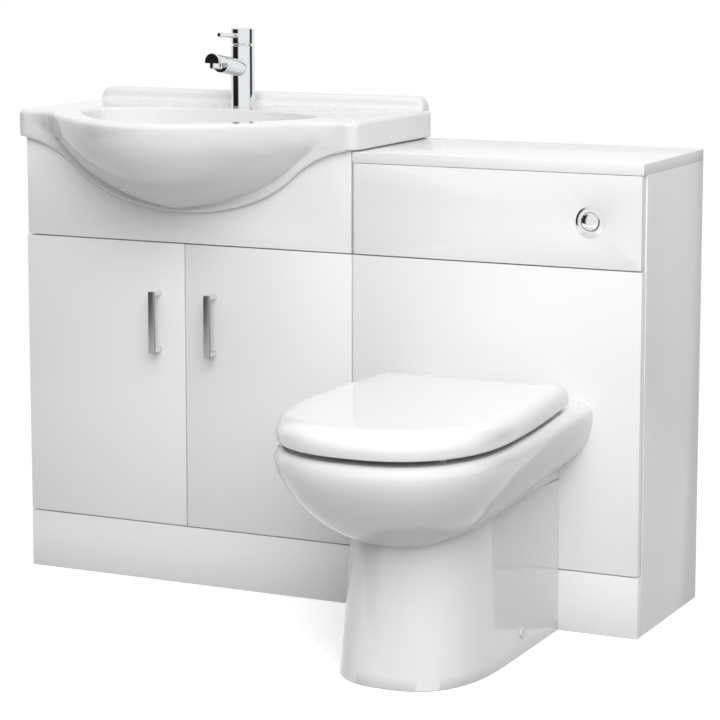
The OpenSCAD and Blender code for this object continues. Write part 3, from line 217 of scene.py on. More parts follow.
def soft_cloth(start, end):
    """Black that thins to nothing towards its top and its two ends, on Object coordinates."""
    black, tree, shader = new_material("flag_cloth")
    place = put(tree, "ShaderNodeTexCoord").outputs["Object"]
    parts = put(tree, "ShaderNodeSeparateXYZ", {0: place}).outputs
    turn = calc(tree, "ARCTAN2", parts["X"], calc(tree, "MULTIPLY", parts["Y"], -1))
    total = 1
    for source, low, high in ((turn, radians(start), radians(start + FLAG_SOFT)),
                              (turn, radians(end), radians(end - FLAG_SOFT)),
                              (parts["Z"], FLAG_H, FLAG_H * 0.5)):
        ramp = put(tree, "ShaderNodeMapRange", {"Value": source, "From Min": low, "From Max": high},
                   interpolation_type="SMOOTHSTEP")
        total = calc(tree, "MULTIPLY", ramp.outputs["Result"], total)
    feed(tree, shader, {"Base Color": (FLAG_BLACK,) * 3 + (1,), "Roughness": 1, "Alpha": total})
    return black


def dark_flag(name, start, end):
    """A black wall on an arc about the set, in degrees from straight ahead, seen in reflections only."""
    bm = bmesh.new()
    foot, head = bm.verts.new((0, -FLAG_R, 0)), bm.verts.new((0, -FLAG_R, FLAG_H))
    edge = bm.edges.new((foot, head))
    bmesh.ops.rotate(bm, verts=[foot, head], matrix=Matrix.Rotation(radians(start), 3, "Z"))
    bmesh.ops.spin(bm, geom=[foot, head, edge], cent=(0, 0, 0), axis=(0, 0, 1),
                   angle=radians(end - start), steps=FLAG_STEPS)
    flag = from_bmesh(name, bm)
    flag.data.materials.append(soft_cloth(start, end))
    flag.visible_camera = flag.visible_diffuse = flag.visible_shadow = False


lamp("key_lamp", (2.2, -3.8, 3.8), 4.0, 212)
lamp("front_lamp", (2.6, -5.6, 1.8), 2.5, 66)
dark_flag("left_flag", -95, -14)
dark_flag("right_flag", 100, 146)

# %% [markdown]
# White sanitary ware looks flat if each finish is one plain colour. Real glaze drifts in tone,
# moulded plastic has a faint orange peel, and foil shows the grain of the board under it. All of
# these are one effect at different scales: a slow drift of tone, a fine grain, and a height. So it
# is built once as a node group with named inputs, and each finish places it with its own values.

# %% Shared surface group
def build_surface_group():
    """Slow drift and fine grain on Object coordinates: gives a tint, a roughness and a height."""
    group = bpy.data.node_groups.new("surface_variation", "ShaderNodeTree")
    face = group.interface
    for name in ("Base", "Shade"):
        face.new_socket(name, in_out="INPUT", socket_type="NodeSocketColor")
    for name in ("Drift Scale", "Drift Amount", "Grain Scale", "Grain Amount", "Rough Low", "Rough High"):
        face.new_socket(name, in_out="INPUT", socket_type="NodeSocketFloat")
    for name, kind in (("Color", "Color"), ("Roughness", "Float"), ("Height", "Float")):
        face.new_socket(name, in_out="OUTPUT", socket_type="NodeSocket" + kind)
    given = put(group, "NodeGroupInput").outputs
    place = put(group, "ShaderNodeTexCoord").outputs["Object"]
    drift, grain = [
        put(group, "ShaderNodeTexNoise", {"Vector": place, "Scale": given[name], "Detail": detail})
        .outputs["Fac"] for name, detail in (("Drift Scale", 3), ("Grain Scale", 4))]
    amount = calc(group, "MULTIPLY", drift, given["Drift Amount"])
    tint = put(group, "ShaderNodeMix", {"Factor": amount, "A": given["Base"], "B": given["Shade"]},
               data_type="RGBA")
    rough = put(group, "ShaderNodeMapRange", {"Value": grain, "From Min": 0.3, "From Max": 0.7,
                                              "To Min": given["Rough Low"], "To Max": given["Rough High"]})
    height = calc(group, "MULTIPLY_ADD", grain, given["Grain Amount"], drift)
    put(group, "NodeGroupOutput", {"Color": tint.outputs["Result"], "Roughness": rough.outputs["Result"],
                                   "Height": height})
    return group


surface_group = build_surface_group()


def surface(tree, base, shade, drift, grain, rough=(0, 0)):
    """The outputs of the group in a tree. Drift and grain are each a scale and an amount."""
    return put(tree, "ShaderNodeGroup", {
        "Base": (*base, 1), "Shade": (*shade, 1), "Drift Scale": drift[0], "Drift Amount": drift[1],
        "Grain Scale": grain[0], "Grain Amount": grain[1], "Rough Low": rough[0], "Rough High": rough[1],
    }, node_tree=surface_group).outputs


print("group:", surface_group.name, [s.name for s in surface_group.interface.items_tree])

# %% [markdown]
# Every finish is then a Principled shader fed by that group, with a weak Bump for its height. What
# is the same all over, such as the coat or the metal, is set on the shader itself. One function
# makes them all, so the list of finishes reads like a sample card.

# %% Sample card
COAT_ROUGH = 0.04


def finish(name, base, shade, drift, grain, rough, bump, bump_mm, metallic=0.0, coat=0.0):
    """A finish: its surface, the strength and depth of its relief, and whether it is metal or coated."""
    material, tree, shader = new_material(name)
    group = surface(tree, base, shade, drift, grain, rough)
    relief = put(tree, "ShaderNodeBump", {"Strength": bump, "Distance": bump_mm * MM,
                                          "Height": group["Height"]})
    feed(tree, shader, {"Base Color": group["Color"], "Roughness": group["Roughness"],
                        "Normal": relief.outputs["Normal"], "Metallic": metallic, "Coat Weight": coat,
                        "Coat Roughness": COAT_ROUGH})
    return material


FINISH = {
    "board_white": finish("white_foil", (0.84, 0.84, 0.845), (0.80, 0.80, 0.805), (3, 0.35), (900, 0.25),
                          (0.2, 0.3), bump=0.12, bump_mm=0.15),
    "ceramic_white": finish("white_glaze", (0.77, 0.77, 0.77), (0.745, 0.745, 0.75), (7, 0.4), (60, 0.05),
                            (0.06, 0.12), bump=0.02, bump_mm=0.3, coat=0.25),
    "chrome": finish("chrome_plate", (0.80, 0.81, 0.82), (0.72, 0.73, 0.75), (30, 0.3), (400, 0.2),
                     (0.03, 0.08), bump=0.03, bump_mm=0.1, metallic=1.0),
    "satin_metal": finish("satin_grey_metal", (0.36, 0.36, 0.365), (0.30, 0.30, 0.305), (60, 0.4),
                          (1400, 0.4), (0.3, 0.42), bump=0.1, bump_mm=0.05, metallic=1.0),
    "zinc_steel": finish("zinc_plated_steel", (0.60, 0.61, 0.62), (0.50, 0.51, 0.50), (80, 0.6), (500, 0.4),
                         (0.25, 0.45), bump=0.1, bump_mm=0.05, metallic=1.0),
    "seat_plastic": finish("white_seat_gloss", (0.83, 0.83, 0.83), (0.81, 0.81, 0.815), (5, 0.4), (300, 0.1),
                           (0.06, 0.12), bump=0.06, bump_mm=0.3, coat=0.4),
    "plastic_white": finish("moulded_white_plastic", (0.76, 0.76, 0.75), (0.70, 0.70, 0.69), (12, 0.4),
                            (700, 0.4), (0.35, 0.5), bump=0.15, bump_mm=0.1),
    "rubber_dark": finish("black_rubber", (0.03, 0.03, 0.032), (0.045, 0.045, 0.045), (25, 0.6), (900, 0.5),
                          (0.6, 0.8), bump=0.3, bump_mm=0.1),
}
print("finishes:", ", ".join(m.name for m in FINISH.values()))

# %% [markdown]
# The floor has two jobs. Seen by the camera or in a reflection, it is a white sheet that keeps the
# shadow near the unit and fades to pure white further off. To the light that it bounces back, it is
# a mid grey, so that the hollows under the basin and the pan stay as dark as in the photograph.

# %% Floor
FLOOR_PALE, FLOOR_BOUNCE, FLOOR_GLOW = 0.9, 0.24, 0.36
FADE_FROM, FADE_TO = 0.95, 2.3


def build_floor_finish():
    """Matt white that shows its shadow near the middle and pure white far off."""
    material, tree, shader = new_material("pale_floor")
    shown = seen_switch(tree)
    sheet = surface(tree, (FLOOR_PALE,) * 3, (FLOOR_PALE * 0.97,) * 3, (2, 0.5), (150, 0.2))
    colour = put(tree, "ShaderNodeMix", {"Factor": shown, "A": (FLOOR_BOUNCE,) * 3 + (1,),
                                         "B": sheet["Color"]}, data_type="RGBA")
    feed(tree, shader, {"Roughness": 0.75, "Specular IOR Level": 0.2,
                        "Base Color": colour.outputs["Result"]})
    glow = put(tree, "ShaderNodeEmission", {"Strength": calc(tree, "MULTIPLY", shown, FLOOR_GLOW)})
    lifted = put(tree, "ShaderNodeAddShader", {0: shader.outputs[0], 1: glow.outputs[0]})
    white = put(tree, "ShaderNodeEmission")
    place = put(tree, "ShaderNodeTexCoord").outputs["Object"]
    reach = put(tree, "ShaderNodeVectorMath", {0: place}, operation="LENGTH").outputs["Value"]
    fade = put(tree, "ShaderNodeMapRange", {"Value": reach, "From Min": FADE_FROM, "From Max": FADE_TO},
               interpolation_type="SMOOTHSTEP").outputs["Result"]
    blend = put(tree, "ShaderNodeMixShader", {0: calc(tree, "MULTIPLY", fade, shown),
                                              1: lifted.outputs[0], 2: white.outputs[0]})
    feed(tree, tree.nodes["Material Output"], {"Surface": blend.outputs[0]})
    return material


floor.data.materials.append(build_floor_finish())
print("floor fades to white from", FADE_FROM, "to", FADE_TO, "m")

# %% [markdown]
# A few small tools make nearly every piece. A skin is a closed net through a list of rings, as a
# boat's planking goes over its frames. A turned piece is a profile spun about an axis, as on a
# lathe. A plate is an outline pulled to a thickness, as a board is cut, and a block has all its edges
# broken. Finishing scales a piece to metres, sets it in place, turns its faces outward and gives it
# its finish.

# %% Skin, lathe, plate, block and finishing
FILLET_STEPS = 3


def skin(rings, closed=False, bm=None):
    """A net through rings with the same number of points. Closed joins the last ring to the first."""
    bm = bm or bmesh.new()
    count = len(rings[0])
    first = loop = bmesh.ops.create_circle(bm, segments=count, radius=1)["verts"]
    for vert, point in zip(loop, rings[0]):
        vert.co = point
    rim = edges = [bm.edges.get((loop[i], loop[(i + 1) % count])) for i in range(count)]
    for ring in rings[1:]:
        made = bmesh.ops.extrude_edge_only(bm, edges=edges)["geom"]
        fresh = {v for v in made if isinstance(v, bmesh.types.BMVert)}
        rungs = [e for v in fresh for e in v.link_edges if (e.verts[0] in fresh) != (e.verts[1] in fresh)]
        mates = {e.other_vert(v): v for e in rungs for v in e.verts if v in fresh}
        loop = [mates[v] for v in loop]
        for vert, point in zip(loop, ring):
            vert.co = point
        edges = [e for e in made if isinstance(e, bmesh.types.BMEdge) and fresh.issuperset(e.verts)]
    if closed:
        bmesh.ops.bridge_loops(bm, edges=edges + rim)
        return bm
    for end in (first, loop):
        bmesh.ops.contextual_create(bm, geom=list(end))
    return bm


def softened(profile):
    """A profile of (r, z) or (r, z, fillet) corners, each rounded by its fillet."""
    path = []
    for i, (r, z, *fillet) in enumerate(profile):
        here = Vector((r, z))
        if not fillet:
            path.append(here)
            continue
        back = (Vector(profile[i - 1][:2]) - here).normalized()
        ahead = (Vector(profile[i + 1][:2]) - here).normalized()
        start, end = here + back * fillet[0], here + ahead * fillet[0]
        for k in range(FILLET_STEPS + 1):
            t = k / FILLET_STEPS
            path.append(start.lerp(here, t).lerp(here.lerp(end, t), t))
    return path


def turned(profile, steps, turn=Matrix(), bm=None):
    """Spins a profile about Z, then turns it. A profile that starts or ends at r = 0 closes there."""
    bm = bm or bmesh.new()
    before = set(bm.verts)
    verts = [bm.verts.new((p.x, 0, p.y)) for p in softened(profile)]
    edges = [bm.edges.new(pair) for pair in zip(verts, verts[1:])]
    bmesh.ops.spin(bm, geom=verts + edges, cent=(0, 0, 0), axis=(0, 0, 1), angle=tau, steps=steps,
                   use_merge=True)
    bmesh.ops.transform(bm, matrix=turn, verts=[v for v in bm.verts if v not in before])
    return bm


def plate(outline, low, high):
    """An outline of (x, z) points pulled from low to high along Y."""
    bm = bmesh.new()
    loop = bmesh.ops.create_circle(bm, cap_ends=True, segments=len(outline), radius=1)["verts"]
    for vert, (x, z) in zip(loop, outline):
        vert.co = (x, low, z)
    made = bmesh.ops.extrude_face_region(bm, geom=[loop[0].link_faces[0]], use_keep_orig=True)["geom"]
    bmesh.ops.translate(bm, vec=(0, high - low, 0),
                        verts=[v for v in made if isinstance(v, bmesh.types.BMVert)])
    return bm


def bevelled(bm, edges, width, segments=2):
    bmesh.ops.bevel(bm, geom=edges, offset=width, offset_type="OFFSET", segments=segments, profile=0.5,
                    affect="EDGES", material=-1, clamp_overlap=True)


def ease(bm, width, degrees=50):
    """Bevels every edge sharper than the given angle."""
    bmesh.ops.recalc_face_normals(bm, faces=bm.faces)
    bevelled(bm, [e for e in bm.edges if e.is_manifold and e.calc_face_angle(0) > radians(degrees)],
             width)
    return bm


def block(low, high, eased, segments=2, bm=None):
    """A block between two corners, with its twelve edges bevelled."""
    bm = bm or bmesh.new()
    verts = bmesh.ops.create_cube(bm, size=1)["verts"]
    bmesh.ops.scale(bm, vec=high - low, verts=verts)
    bmesh.ops.translate(bm, vec=(low + high) / 2, verts=verts)
    bevelled(bm, list({e for v in verts for e in v.link_edges}), eased, segments)
    return bm


def finished(name, bm, place, node, key, body="unit", sharp=35, turn=Matrix()):
    """Turns, scales to metres, places, smooths, and hands the piece to the frame."""
    bmesh.ops.transform(bm, matrix=turn, verts=bm.verts)
    bmesh.ops.remove_doubles(bm, verts=bm.verts, dist=0.0005)
    bmesh.ops.scale(bm, vec=(MM, MM, MM), verts=bm.verts)
    bmesh.ops.translate(bm, vec=place, verts=bm.verts)
    bmesh.ops.recalc_face_normals(bm, faces=bm.faces)
    for face in bm.faces:
        face.smooth = True
    piece = from_bmesh(name, bm)
    piece.data.set_sharp_from_angle(angle=radians(sharp))
    piece.data.materials.append(FINISH[key])
    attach(piece, body)
    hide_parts(node)
    return piece


def mix(a, b, t):
    """The value, or the point, a share t of the way from a to b."""
    if isinstance(a, (int, float)):
        return a + (b - a) * t
    return tuple(p + (q - p) * t for p, q in zip(a, b))


print("tools: skin, turned, plate, ease, block, finished")

# %% [markdown]
# The basin is one casting, so its form is one net. Seen from above, its front edge is a gentle
# S-curve: two straight wings that run out into a deep round bulge. Seen from the front, the belly
# under the bulge narrows like a keel. Each level of the net is a ring with the same stations: the
# front run, the wing, the rounded corner, the side and the back. The front run is an arch. Low down
# it is creased where it meets the cabinet, and towards the rim its ends run out softly into the
# wings, so that the belly grows into the edge without a seam.

# %% Basin: stations of a ring
RIM = size_mm("tap_body")[0].z
SLAB_LOW = VANITY_H
LIP = 11
REACH = -size_mm("basin")[0].y
BULGE_W, BELLY_W = 240, 238
BELLY_TOP, BELLY_DROP, KEEL_DROP = RIM - 25, 128, 147
CORNER_R, EDGE_R = 18, 8
SWELL_FROM = SLAB_LOW - 25
RUN_N, SIDE_N, BACK_N = 80, 22, 40
WASTE_Y = 72

run_s = [-cos(pi * i / RUN_N) for i in range(RUN_N + 1)]
ellipse_out = [sqrt(max(0, 1 - s * s)) for s in run_s]
arch_out = [max(0, cos(pi / 2 * s)) ** 0.93 for s in run_s]


def smooth_step(t):
    """From 0 to 1, level at both ends."""
    t = max(0.0, min(1.0, t))
    return t * t * (3 - 2 * t)


def front_run(width, y_sides, y_front, out):
    """From left to right along the front."""
    return [(s * width, y_sides + (y_front - y_sides) * k) for s, k in zip(run_s, out)]


def mirrored(run):
    return [(-x, y) for x, y in reversed(run)]


def ring(z, front, side, back):
    """A whole ring at one height: front, right side, back, and the right side mirrored."""
    return [(x, y, z) for x, y in front + side + back + mirrored(side)]


def oval_ring(z, front, half, y0, y1, y_back):
    """A ring with straight sides from y0 to y1 and half an ellipse at the back."""
    side = [(half, mix(y0, y1, k / SIDE_N)) for k in range(1, SIDE_N + 1)]
    turn = [pi * j / BACK_N for j in range(1, BACK_N)]
    return ring(z, front, side, [(half * cos(a), y1 + (y_back - y1) * sin(a)) for a in turn])


def keel(z):
    """Half width of the belly and reach of its front at a height."""
    d = max(0, BELLY_TOP - z) / BELLY_DROP
    k = max(0, RIM - 10 - z) / KEEL_DROP
    return BELLY_W * max(0, 1 - d ** 1.8) ** 0.62, REACH * max(0, 1 - k ** 1.8) ** 0.6


def soft_arch(u, hollow):
    """An arch that runs out level beyond u = 1. The hollow sets how softly."""
    rise, top = cos(pi / 2 * min(u, 1.7)), (1 + sqrt(1 + hollow ** 2)) / 2
    return ((rise + sqrt(rise ** 2 + hollow ** 2)) / 2 / top) ** 0.85


def swell_front(z, front_in=0):
    """Front run of a level: a deep arch, creased at its ends low down and softly hollow at the rim."""
    width, reach = keel(z)
    share = smooth_step((z - SWELL_FROM) / (RIM - EDGE_R - SWELL_FROM))
    width, hollow = mix(width, BULGE_W, share), mix(0.02, 0.26, share)
    half, tail = width + mix(3, 56, share), mix(3, 90, share)
    out = [soft_arch(abs(s) * half / width, hollow) * smooth_step((1 - abs(s)) * half / tail) for s in run_s]
    return half, front_run(half, -LIP + front_in, -reach + front_in, out)


def belly_ring(z):
    width, front = swell_front(z)
    return oval_ring(z, front, width, -LIP, WASTE_Y - 30, WASTE_Y + 58 + 45 * min(1, width / BELLY_W))


def slab_ring(z, wing_in, front_in):
    """A level of the edge, with the wings, the rounded corners and the straight back."""
    width, front = swell_front(z, front_in)
    half, y_wing = WING_X - wing_in, -LIP + wing_in
    wing = [(mix(width, half - CORNER_R, k / 5), y_wing) for k in range(1, 5)]
    corner = [(half - CORNER_R + CORNER_R * sin(a), y_wing + CORNER_R - CORNER_R * cos(a))
              for a in [radians(22.5 * k) for k in range(5)]]
    side = [(half, mix(y_wing + CORNER_R, UNIT_D - 6, (k / 13) ** 0.9)) for k in range(1, 14)]
    back = [(half * (1 - 2 * j / BACK_N), UNIT_D - wing_in) for j in range(1, BACK_N)]
    return ring(z, front, wing + corner + side, back)


print("stations in a ring:", len(belly_ring(700)), len(slab_ring(780, 0, 0)))

# %% [markdown]
# The bowl has the same stations, from the opening in the deck down to a small flat round the
# waste. Between the rounded outer edge and the opening, the deck is a plain blend of the two
# outlines. The lip rolls over into the bowl in a quarter turn, and the last rings turn down into
# the waste hole.

# %% Basin: bowl, deck and net
BOWL_W, BOWL_FRONT, BOWL_BACK, BOWL_DEPTH = 213, 157, 155, 133
WASTE_FLAT, WASTE_R = 45, 22.5
LIP_R, LIP_SHARE = 6, 0.03


def bowl_ring(z, share):
    half = mix(WASTE_FLAT, BOWL_W, share)
    y_front = mix(WASTE_Y - WASTE_FLAT, -BOWL_FRONT, share)
    y0, y1 = WASTE_Y - 10 - 40 * share, WASTE_Y + 10 - 20 * share
    out = [mix(a, b, share) for a, b in zip(ellipse_out, arch_out)]
    return oval_ring(z, front_run(half, y0, y_front, out), half, y0, y1,
                     mix(WASTE_Y + WASTE_FLAT, BOWL_BACK, share))


def waste_ring(radius, z):
    """The bowl's flat drawn in to a circle round the waste."""
    points = []
    for x, y, _ in bowl_ring(0, 0):
        reach = hypot(x, y - WASTE_Y)
        points.append((x / reach * radius, WASTE_Y + (y - WASTE_Y) / reach * radius, z))
    return points


def basin_rings():
    rings = [belly_ring(BELLY_TOP - BELLY_DROP * sin(radians(a)))
             for a in (86, 83, 80, 76, 72, 67, 62, 57, 52, 47, 42, 37, 32, 27, 22, 17, 12.5)]
    rings.append(belly_ring(SLAB_LOW))
    rings += [slab_ring(SLAB_LOW + z, inset, 0) for z, inset in ((0.02, 3), (0.6, 1.2), (1.8, 0.2))]
    top = RIM - EDGE_R
    for k in range(1, 13):
        rings.append(slab_ring(mix(SLAB_LOW + 1.8, top, k / 12), 0, 0))
    for a in (15, 30, 45, 60, 75, 90):
        inset = EDGE_R - EDGE_R * cos(radians(a))
        rings.append(slab_ring(top + EDGE_R * sin(radians(a)), inset, inset))
    edge, mouth = rings[-1], bowl_ring(RIM, 1 + LIP_SHARE)
    rings += [[mix(p, q, g) for p, q in zip(edge, mouth)]
              for g in (0.04, 0.12, 0.24, 0.38, 0.52, 0.66, 0.79, 0.9, 0.97, 1)]
    for a in (22, 45, 67, 90):
        turn = radians(a)
        rings.append(bowl_ring(RIM - LIP_R + LIP_R * cos(turn), 1 + LIP_SHARE * (1 - sin(turn))))
    for a in (4, 8, 13, 19, 25, 32, 39, 46, 53, 60, 67, 74, 80, 85):
        turn = radians(a)
        share = (1 - 0.07 * sin(turn)) * cos(turn) ** 0.92
        rings.append(bowl_ring(RIM - LIP_R - (BOWL_DEPTH - LIP_R) * sin(turn), share))
    floor_z = RIM - BOWL_DEPTH
    rings += [bowl_ring(floor_z, 0), waste_ring(36, floor_z - 0.2), waste_ring(WASTE_R + 3, floor_z - 0.4),
              waste_ring(WASTE_R, floor_z - 2), waste_ring(WASTE_R, floor_z - 14)]
    return rings


basin = finished("basin_casting", skin(basin_rings()), spot(BASIN_X, 0, 0), "basin", "ceramic_white")
print("basin:", len(basin.data.polygons), "faces")

# %% [markdown]
# Below the wings the casting comes down in front of the cabinet as a plate, an apron whose lower
# edge is part of an ellipse and turns out into the wings. The belly grows out of it, and its upper
# edge stays inside the wall of the bowl. Along the room's wall stands a low upstand with rounded
# ends, which meets the deck in a hollow curve.

# %% Basin: apron and upstand
APRON_TOP, APRON_A, APRON_DROP, APRON_TURN = RIM - 26, 240, 137, 205
WALL_A, WALL_DROP = 214, 117
TURN_ROOT = sqrt(1 - (APRON_TURN / APRON_A) ** 2)
TURN_Z = APRON_TOP - APRON_DROP * TURN_ROOT
TURN_ANGLE = atan(APRON_DROP * APRON_TURN / (APRON_A ** 2 * TURN_ROOT))
SWEEP_R = (VANITY_H - TURN_Z) / (1 - cos(TURN_ANGLE))
SWEEP_END = APRON_TURN + SWEEP_R * sin(TURN_ANGLE)


def apron_low(x):
    """Height of the apron's lower edge at a distance from the basin's middle."""
    if abs(x) < APRON_TURN:
        return APRON_TOP - APRON_DROP * sqrt(1 - (x / APRON_A) ** 2)
    away = max(0, SWEEP_END - abs(x))
    return VANITY_H - SWEEP_R + sqrt(SWEEP_R ** 2 - away ** 2)


def apron_high(x):
    """Height of the apron's upper edge, hidden in the wall of the bowl."""
    return min(SLAB_LOW + 10, APRON_TOP - WALL_DROP * sqrt(max(0, 1 - (x / WALL_A) ** 2)))


def apron_cut(x):
    """The apron cut across: its rounded lower edge from back to front, then its upper edge."""
    edge = ((-0.3, 0), (-6, 0), (-8.4, 0.5), (-9.8, 1.8), (-10.5, 4), (0.15 - LIP, 7))
    low = [(x, y, min(SLAB_LOW + 4, apron_low(x) + grow)) for y, grow in edge]
    return low + [(x, y, apron_high(x)) for y in (0.15 - LIP, -0.3)]


half = WING_X - CORNER_R - 1
apron_cuts = [apron_cut(half * sin(pi / 2 * k / 48)) for k in range(-48, 49)]
finished("basin_apron", skin(apron_cuts), spot(BASIN_X, 0, 0), "basin", "ceramic_white")

UPSTAND_H, UPSTAND_X, UPSTAND_T, COVE = 23, WING_X - 6, 25, 12
END_R, SUNK = 16, -6
profile = [(UNIT_D, SUNK)] + [(UNIT_D - back, UPSTAND_H - down) for back, down in (
    (0, 3), (0.9, 0.9), (3, 0), (12, 0), (19, 0.4), (22, 1.8), (24, 4.6))]
for k in range(7):
    a = pi / 2 * k / 6
    profile.append((UNIT_D - UPSTAND_T - COVE + COVE * cos(a), COVE - COVE * sin(a)))
profile.append((UNIT_D - UPSTAND_T - COVE, SUNK))
upstand_rings = []
for k in range(-12, 13):
    side = -1 if k < 0 else 1
    share = sin(pi / 2 * max(0, (abs(k) - 4) / 8))
    x = side * (min(abs(k), 4) / 4 * (UPSTAND_X - END_R) + END_R * share)
    tall = sqrt(max(0.0, 1 - share ** 2.4)) if share < 1 else 0.02
    upstand_rings.append([(x, y, RIM + (h * tall if h > 0 else h)) for y, h in profile])
finished("basin_upstand", skin(upstand_rings), spot(BASIN_X, 0, 0), "basin", "ceramic_white", sharp=50)
print("apron from", round(apron_low(0)), "to", round(apron_low(300)), "mm; upstand", UPSTAND_H, "mm")

# %% [markdown]
# The pan is a second casting with the same idea: a narrow foot with nearly straight sides, a crease,
# and a bowl that swells out of it to a rim that slopes up a little towards the hinge. Its outline
# is a D: a blunt nose, sides that close in towards the cabinet, and a straight rear against it.
# The crease is lowest under the nose and climbs quickly along the sides, so each station of the net
# has its own rise, which fades out towards the floor and towards the widest level.

# %% Pan: outlines and levels
FOOT_W, FOOT_REACH, CREASE_Z, PAN_W, RIM_REACH, PAN_RIM = 118, 414, 200, 180, 533, 362
RIM_RISE = tan(radians(1.6))
FOOT_Y, NOSE_Y, FOOT_N, BOWL_N = -230, -340, 2.6, 2.4
WIDE_Z, REAR_W, REAR_SWELL, TAPER, LEAN, TUCK, REAR_TUCK = 344, 171, 100, 12, 30, 8, 18
FOOT_TOP, FOLLOW_FROM = FOOT_REACH - LEAN, CREASE_Z + 50
RISE_NOSE, RISE_SIDE, RISE_RUN = 13, 35, 80
NOSE_N, FLANK_N = 72, 16


def superpower(value, n):
    return copysign(abs(value) ** (2 / n), value)


def nose_run(width, y_sides, y_front, n):
    turn = [pi * i / NOSE_N for i in range(NOSE_N + 1)]
    return [(-width * superpower(cos(a), n), mix(y_sides, y_front, superpower(sin(a), n)))
            for a in turn]


def d_shape(width, rear, y_rear, y_sides, y_front, n):
    """Nose and closing sides, straight at the rear."""
    side = [(mix(rear, width, sin(pi / 2 * (1 - k / FLANK_N))), mix(y_sides, y_rear, k / FLANK_N))
            for k in range(1, FLANK_N + 1)]
    return nose_run(width, y_sides, y_front, n) + side + mirrored(side)


def egg(width, y_rear, y_sides, y_front, n):
    """A nose at both ends."""
    turn = [radians(86) * k / FLANK_N for k in range(1, FLANK_N + 1)]
    side = [(width * superpower(cos(a), n), mix(y_sides, y_rear, superpower(sin(a), n)))
            for a in turn]
    return nose_run(width, y_sides, y_front, n) + side + mirrored(side)


def pan_section(z):
    """Outline of the outside at a height, before the rise of its stations."""
    if z <= CREASE_Z:
        up = z / CREASE_Z
        return d_shape(FOOT_W - TAPER * up, FOOT_W - 2, 0, FOOT_Y, LEAN * up - FOOT_REACH, FOOT_N)
    swell = (1 - (1 - min(1, (z - CREASE_Z) / (WIDE_Z - CREASE_Z))) ** 1.5) ** 0.6
    tuck = max(0, (z - WIDE_Z) / (PAN_RIM - WIDE_Z)) ** 2
    width = mix(FOOT_W - TAPER, PAN_W, swell) - TUCK * tuck
    rear = mix(FOOT_W - 2, REAR_W, sqrt(max(0, 1 - ((WIDE_Z - z) / REAR_SWELL) ** 2))) - REAR_TUCK * tuck
    return d_shape(width, min(rear, width), 0, mix(FOOT_Y, NOSE_Y, swell),
                   TUCK * tuck - mix(FOOT_TOP, RIM_REACH + TUCK, swell), mix(FOOT_N, BOWL_N, swell))


crease_rise = [RISE_NOSE + RISE_SIDE * (1 - exp(-max(0, y + FOOT_TOP) / RISE_RUN))
               for _, y in pan_section(CREASE_Z)]


def inner_ring(outline, z, share):
    """A level that follows the slope of the rim by a share."""
    return [(x, y, z + share * RIM_RISE * (y + RIM_REACH)) for x, y in outline]


def pan_ring(outline, z, share):
    """A level of the outside, which follows the climbing crease as well, near the crease's height."""
    near = (z / CREASE_Z) ** 2 if z <= CREASE_Z else max(0, 1 - (z - CREASE_Z) / (WIDE_Z - CREASE_Z))
    return [(x, y, h + near * rise) for (x, y, h), rise in zip(inner_ring(outline, z, share), crease_rise)]


def pan_rings():
    rings = [pan_ring(d_shape(FOOT_W - 1.2, FOOT_W - 3.2, 0, FOOT_Y, 1.2 - FOOT_REACH, FOOT_N), 0, 0)]
    rings += [pan_ring(pan_section(z), z, 0) for z in (1.2, 20, 60, 100, 140, 170, 190, 197, 199.5)]
    shares = (0.004, 0.012, 0.03, 0.05, 0.075, 0.105, 0.14, 0.18, 0.23, 0.29, 0.35, 0.42, 0.49, 0.57,
              0.65, 0.73, 0.81, 0.88, 0.94, 1)
    for f in shares:
        z = mix(CREASE_Z, WIDE_Z, f)
        rings.append(pan_ring(pan_section(z), z, max(0, (z - FOLLOW_FROM) / (PAN_RIM - FOLLOW_FROM))))
    for f in (0.2, 0.4, 0.6, 0.8, 0.93, 1):
        z = mix(WIDE_Z, PAN_RIM - 3, f)
        rings.append(pan_ring(pan_section(z), z, 1))
    top = PAN_W - TUCK
    for inset, drop in ((0.5, 1.8), (1.6, 0.8), (3, 0.2), (5, 0)):
        rings.append(pan_ring(d_shape(top - inset, REAR_W - REAR_TUCK - 1 - inset, -inset * 0.8, NOSE_Y,
                                      -RIM_REACH + inset, BOWL_N), PAN_RIM - drop, 1))
    levels = [(127, -145, -310, 39, 2.2, 0, 1), (124, -148, -310, 42.5, 2.2, -0.8, 1),
              (122.4, -149.6, -310, 45, 2.2, -2.8, 1), (122, -150, -310, 46, 2.2, -6, 1),
              (121, -152, -309, 52, 2.2, -24, 0.9), (118, -156, -306, 68, 2.2, -52, 0.8),
              (112, -161, -303, 80, 2.15, -76, 0.6), (104, -168, -298, 97, 2.1, -97, 0.4),
              (94, -176, -292, 116, 2.05, -117, 0.2), (82, -185, -285, 138, 2, -137, 0),
              (69, -199, -278, 167, 2, -154, 0), (56, -212, -272, 195, 2, -170, 0),
              (47, -220, -269, 212, 2, -182, 0), (40, -226, -266, 227, 2, -192, 0),
              (36, -229, -265, 232, 2, -211, 0)]
    for width, y_rear, y_sides, back, n, drop, share in levels:
        rings.append(inner_ring(egg(width, y_rear, y_sides, back - RIM_REACH, n), PAN_RIM + drop, share))
    return rings


pan = finished("pan_casting", skin(pan_rings()), spot(PAN_X, 0, 0), "pan", "ceramic_white", sharp=50)
print("pan:", len(pan.data.polygons), "faces")

# %% [markdown]
# The seat and its lid are drawn level about their hinge, then tipped onto the rim. The ring is a
# closed loop of levels between the same D and an egg-shaped hole. The lid is a shallow shell: a
# rounded skirt that hides the ring, a soft shoulder, and a top that is very slightly crowned.

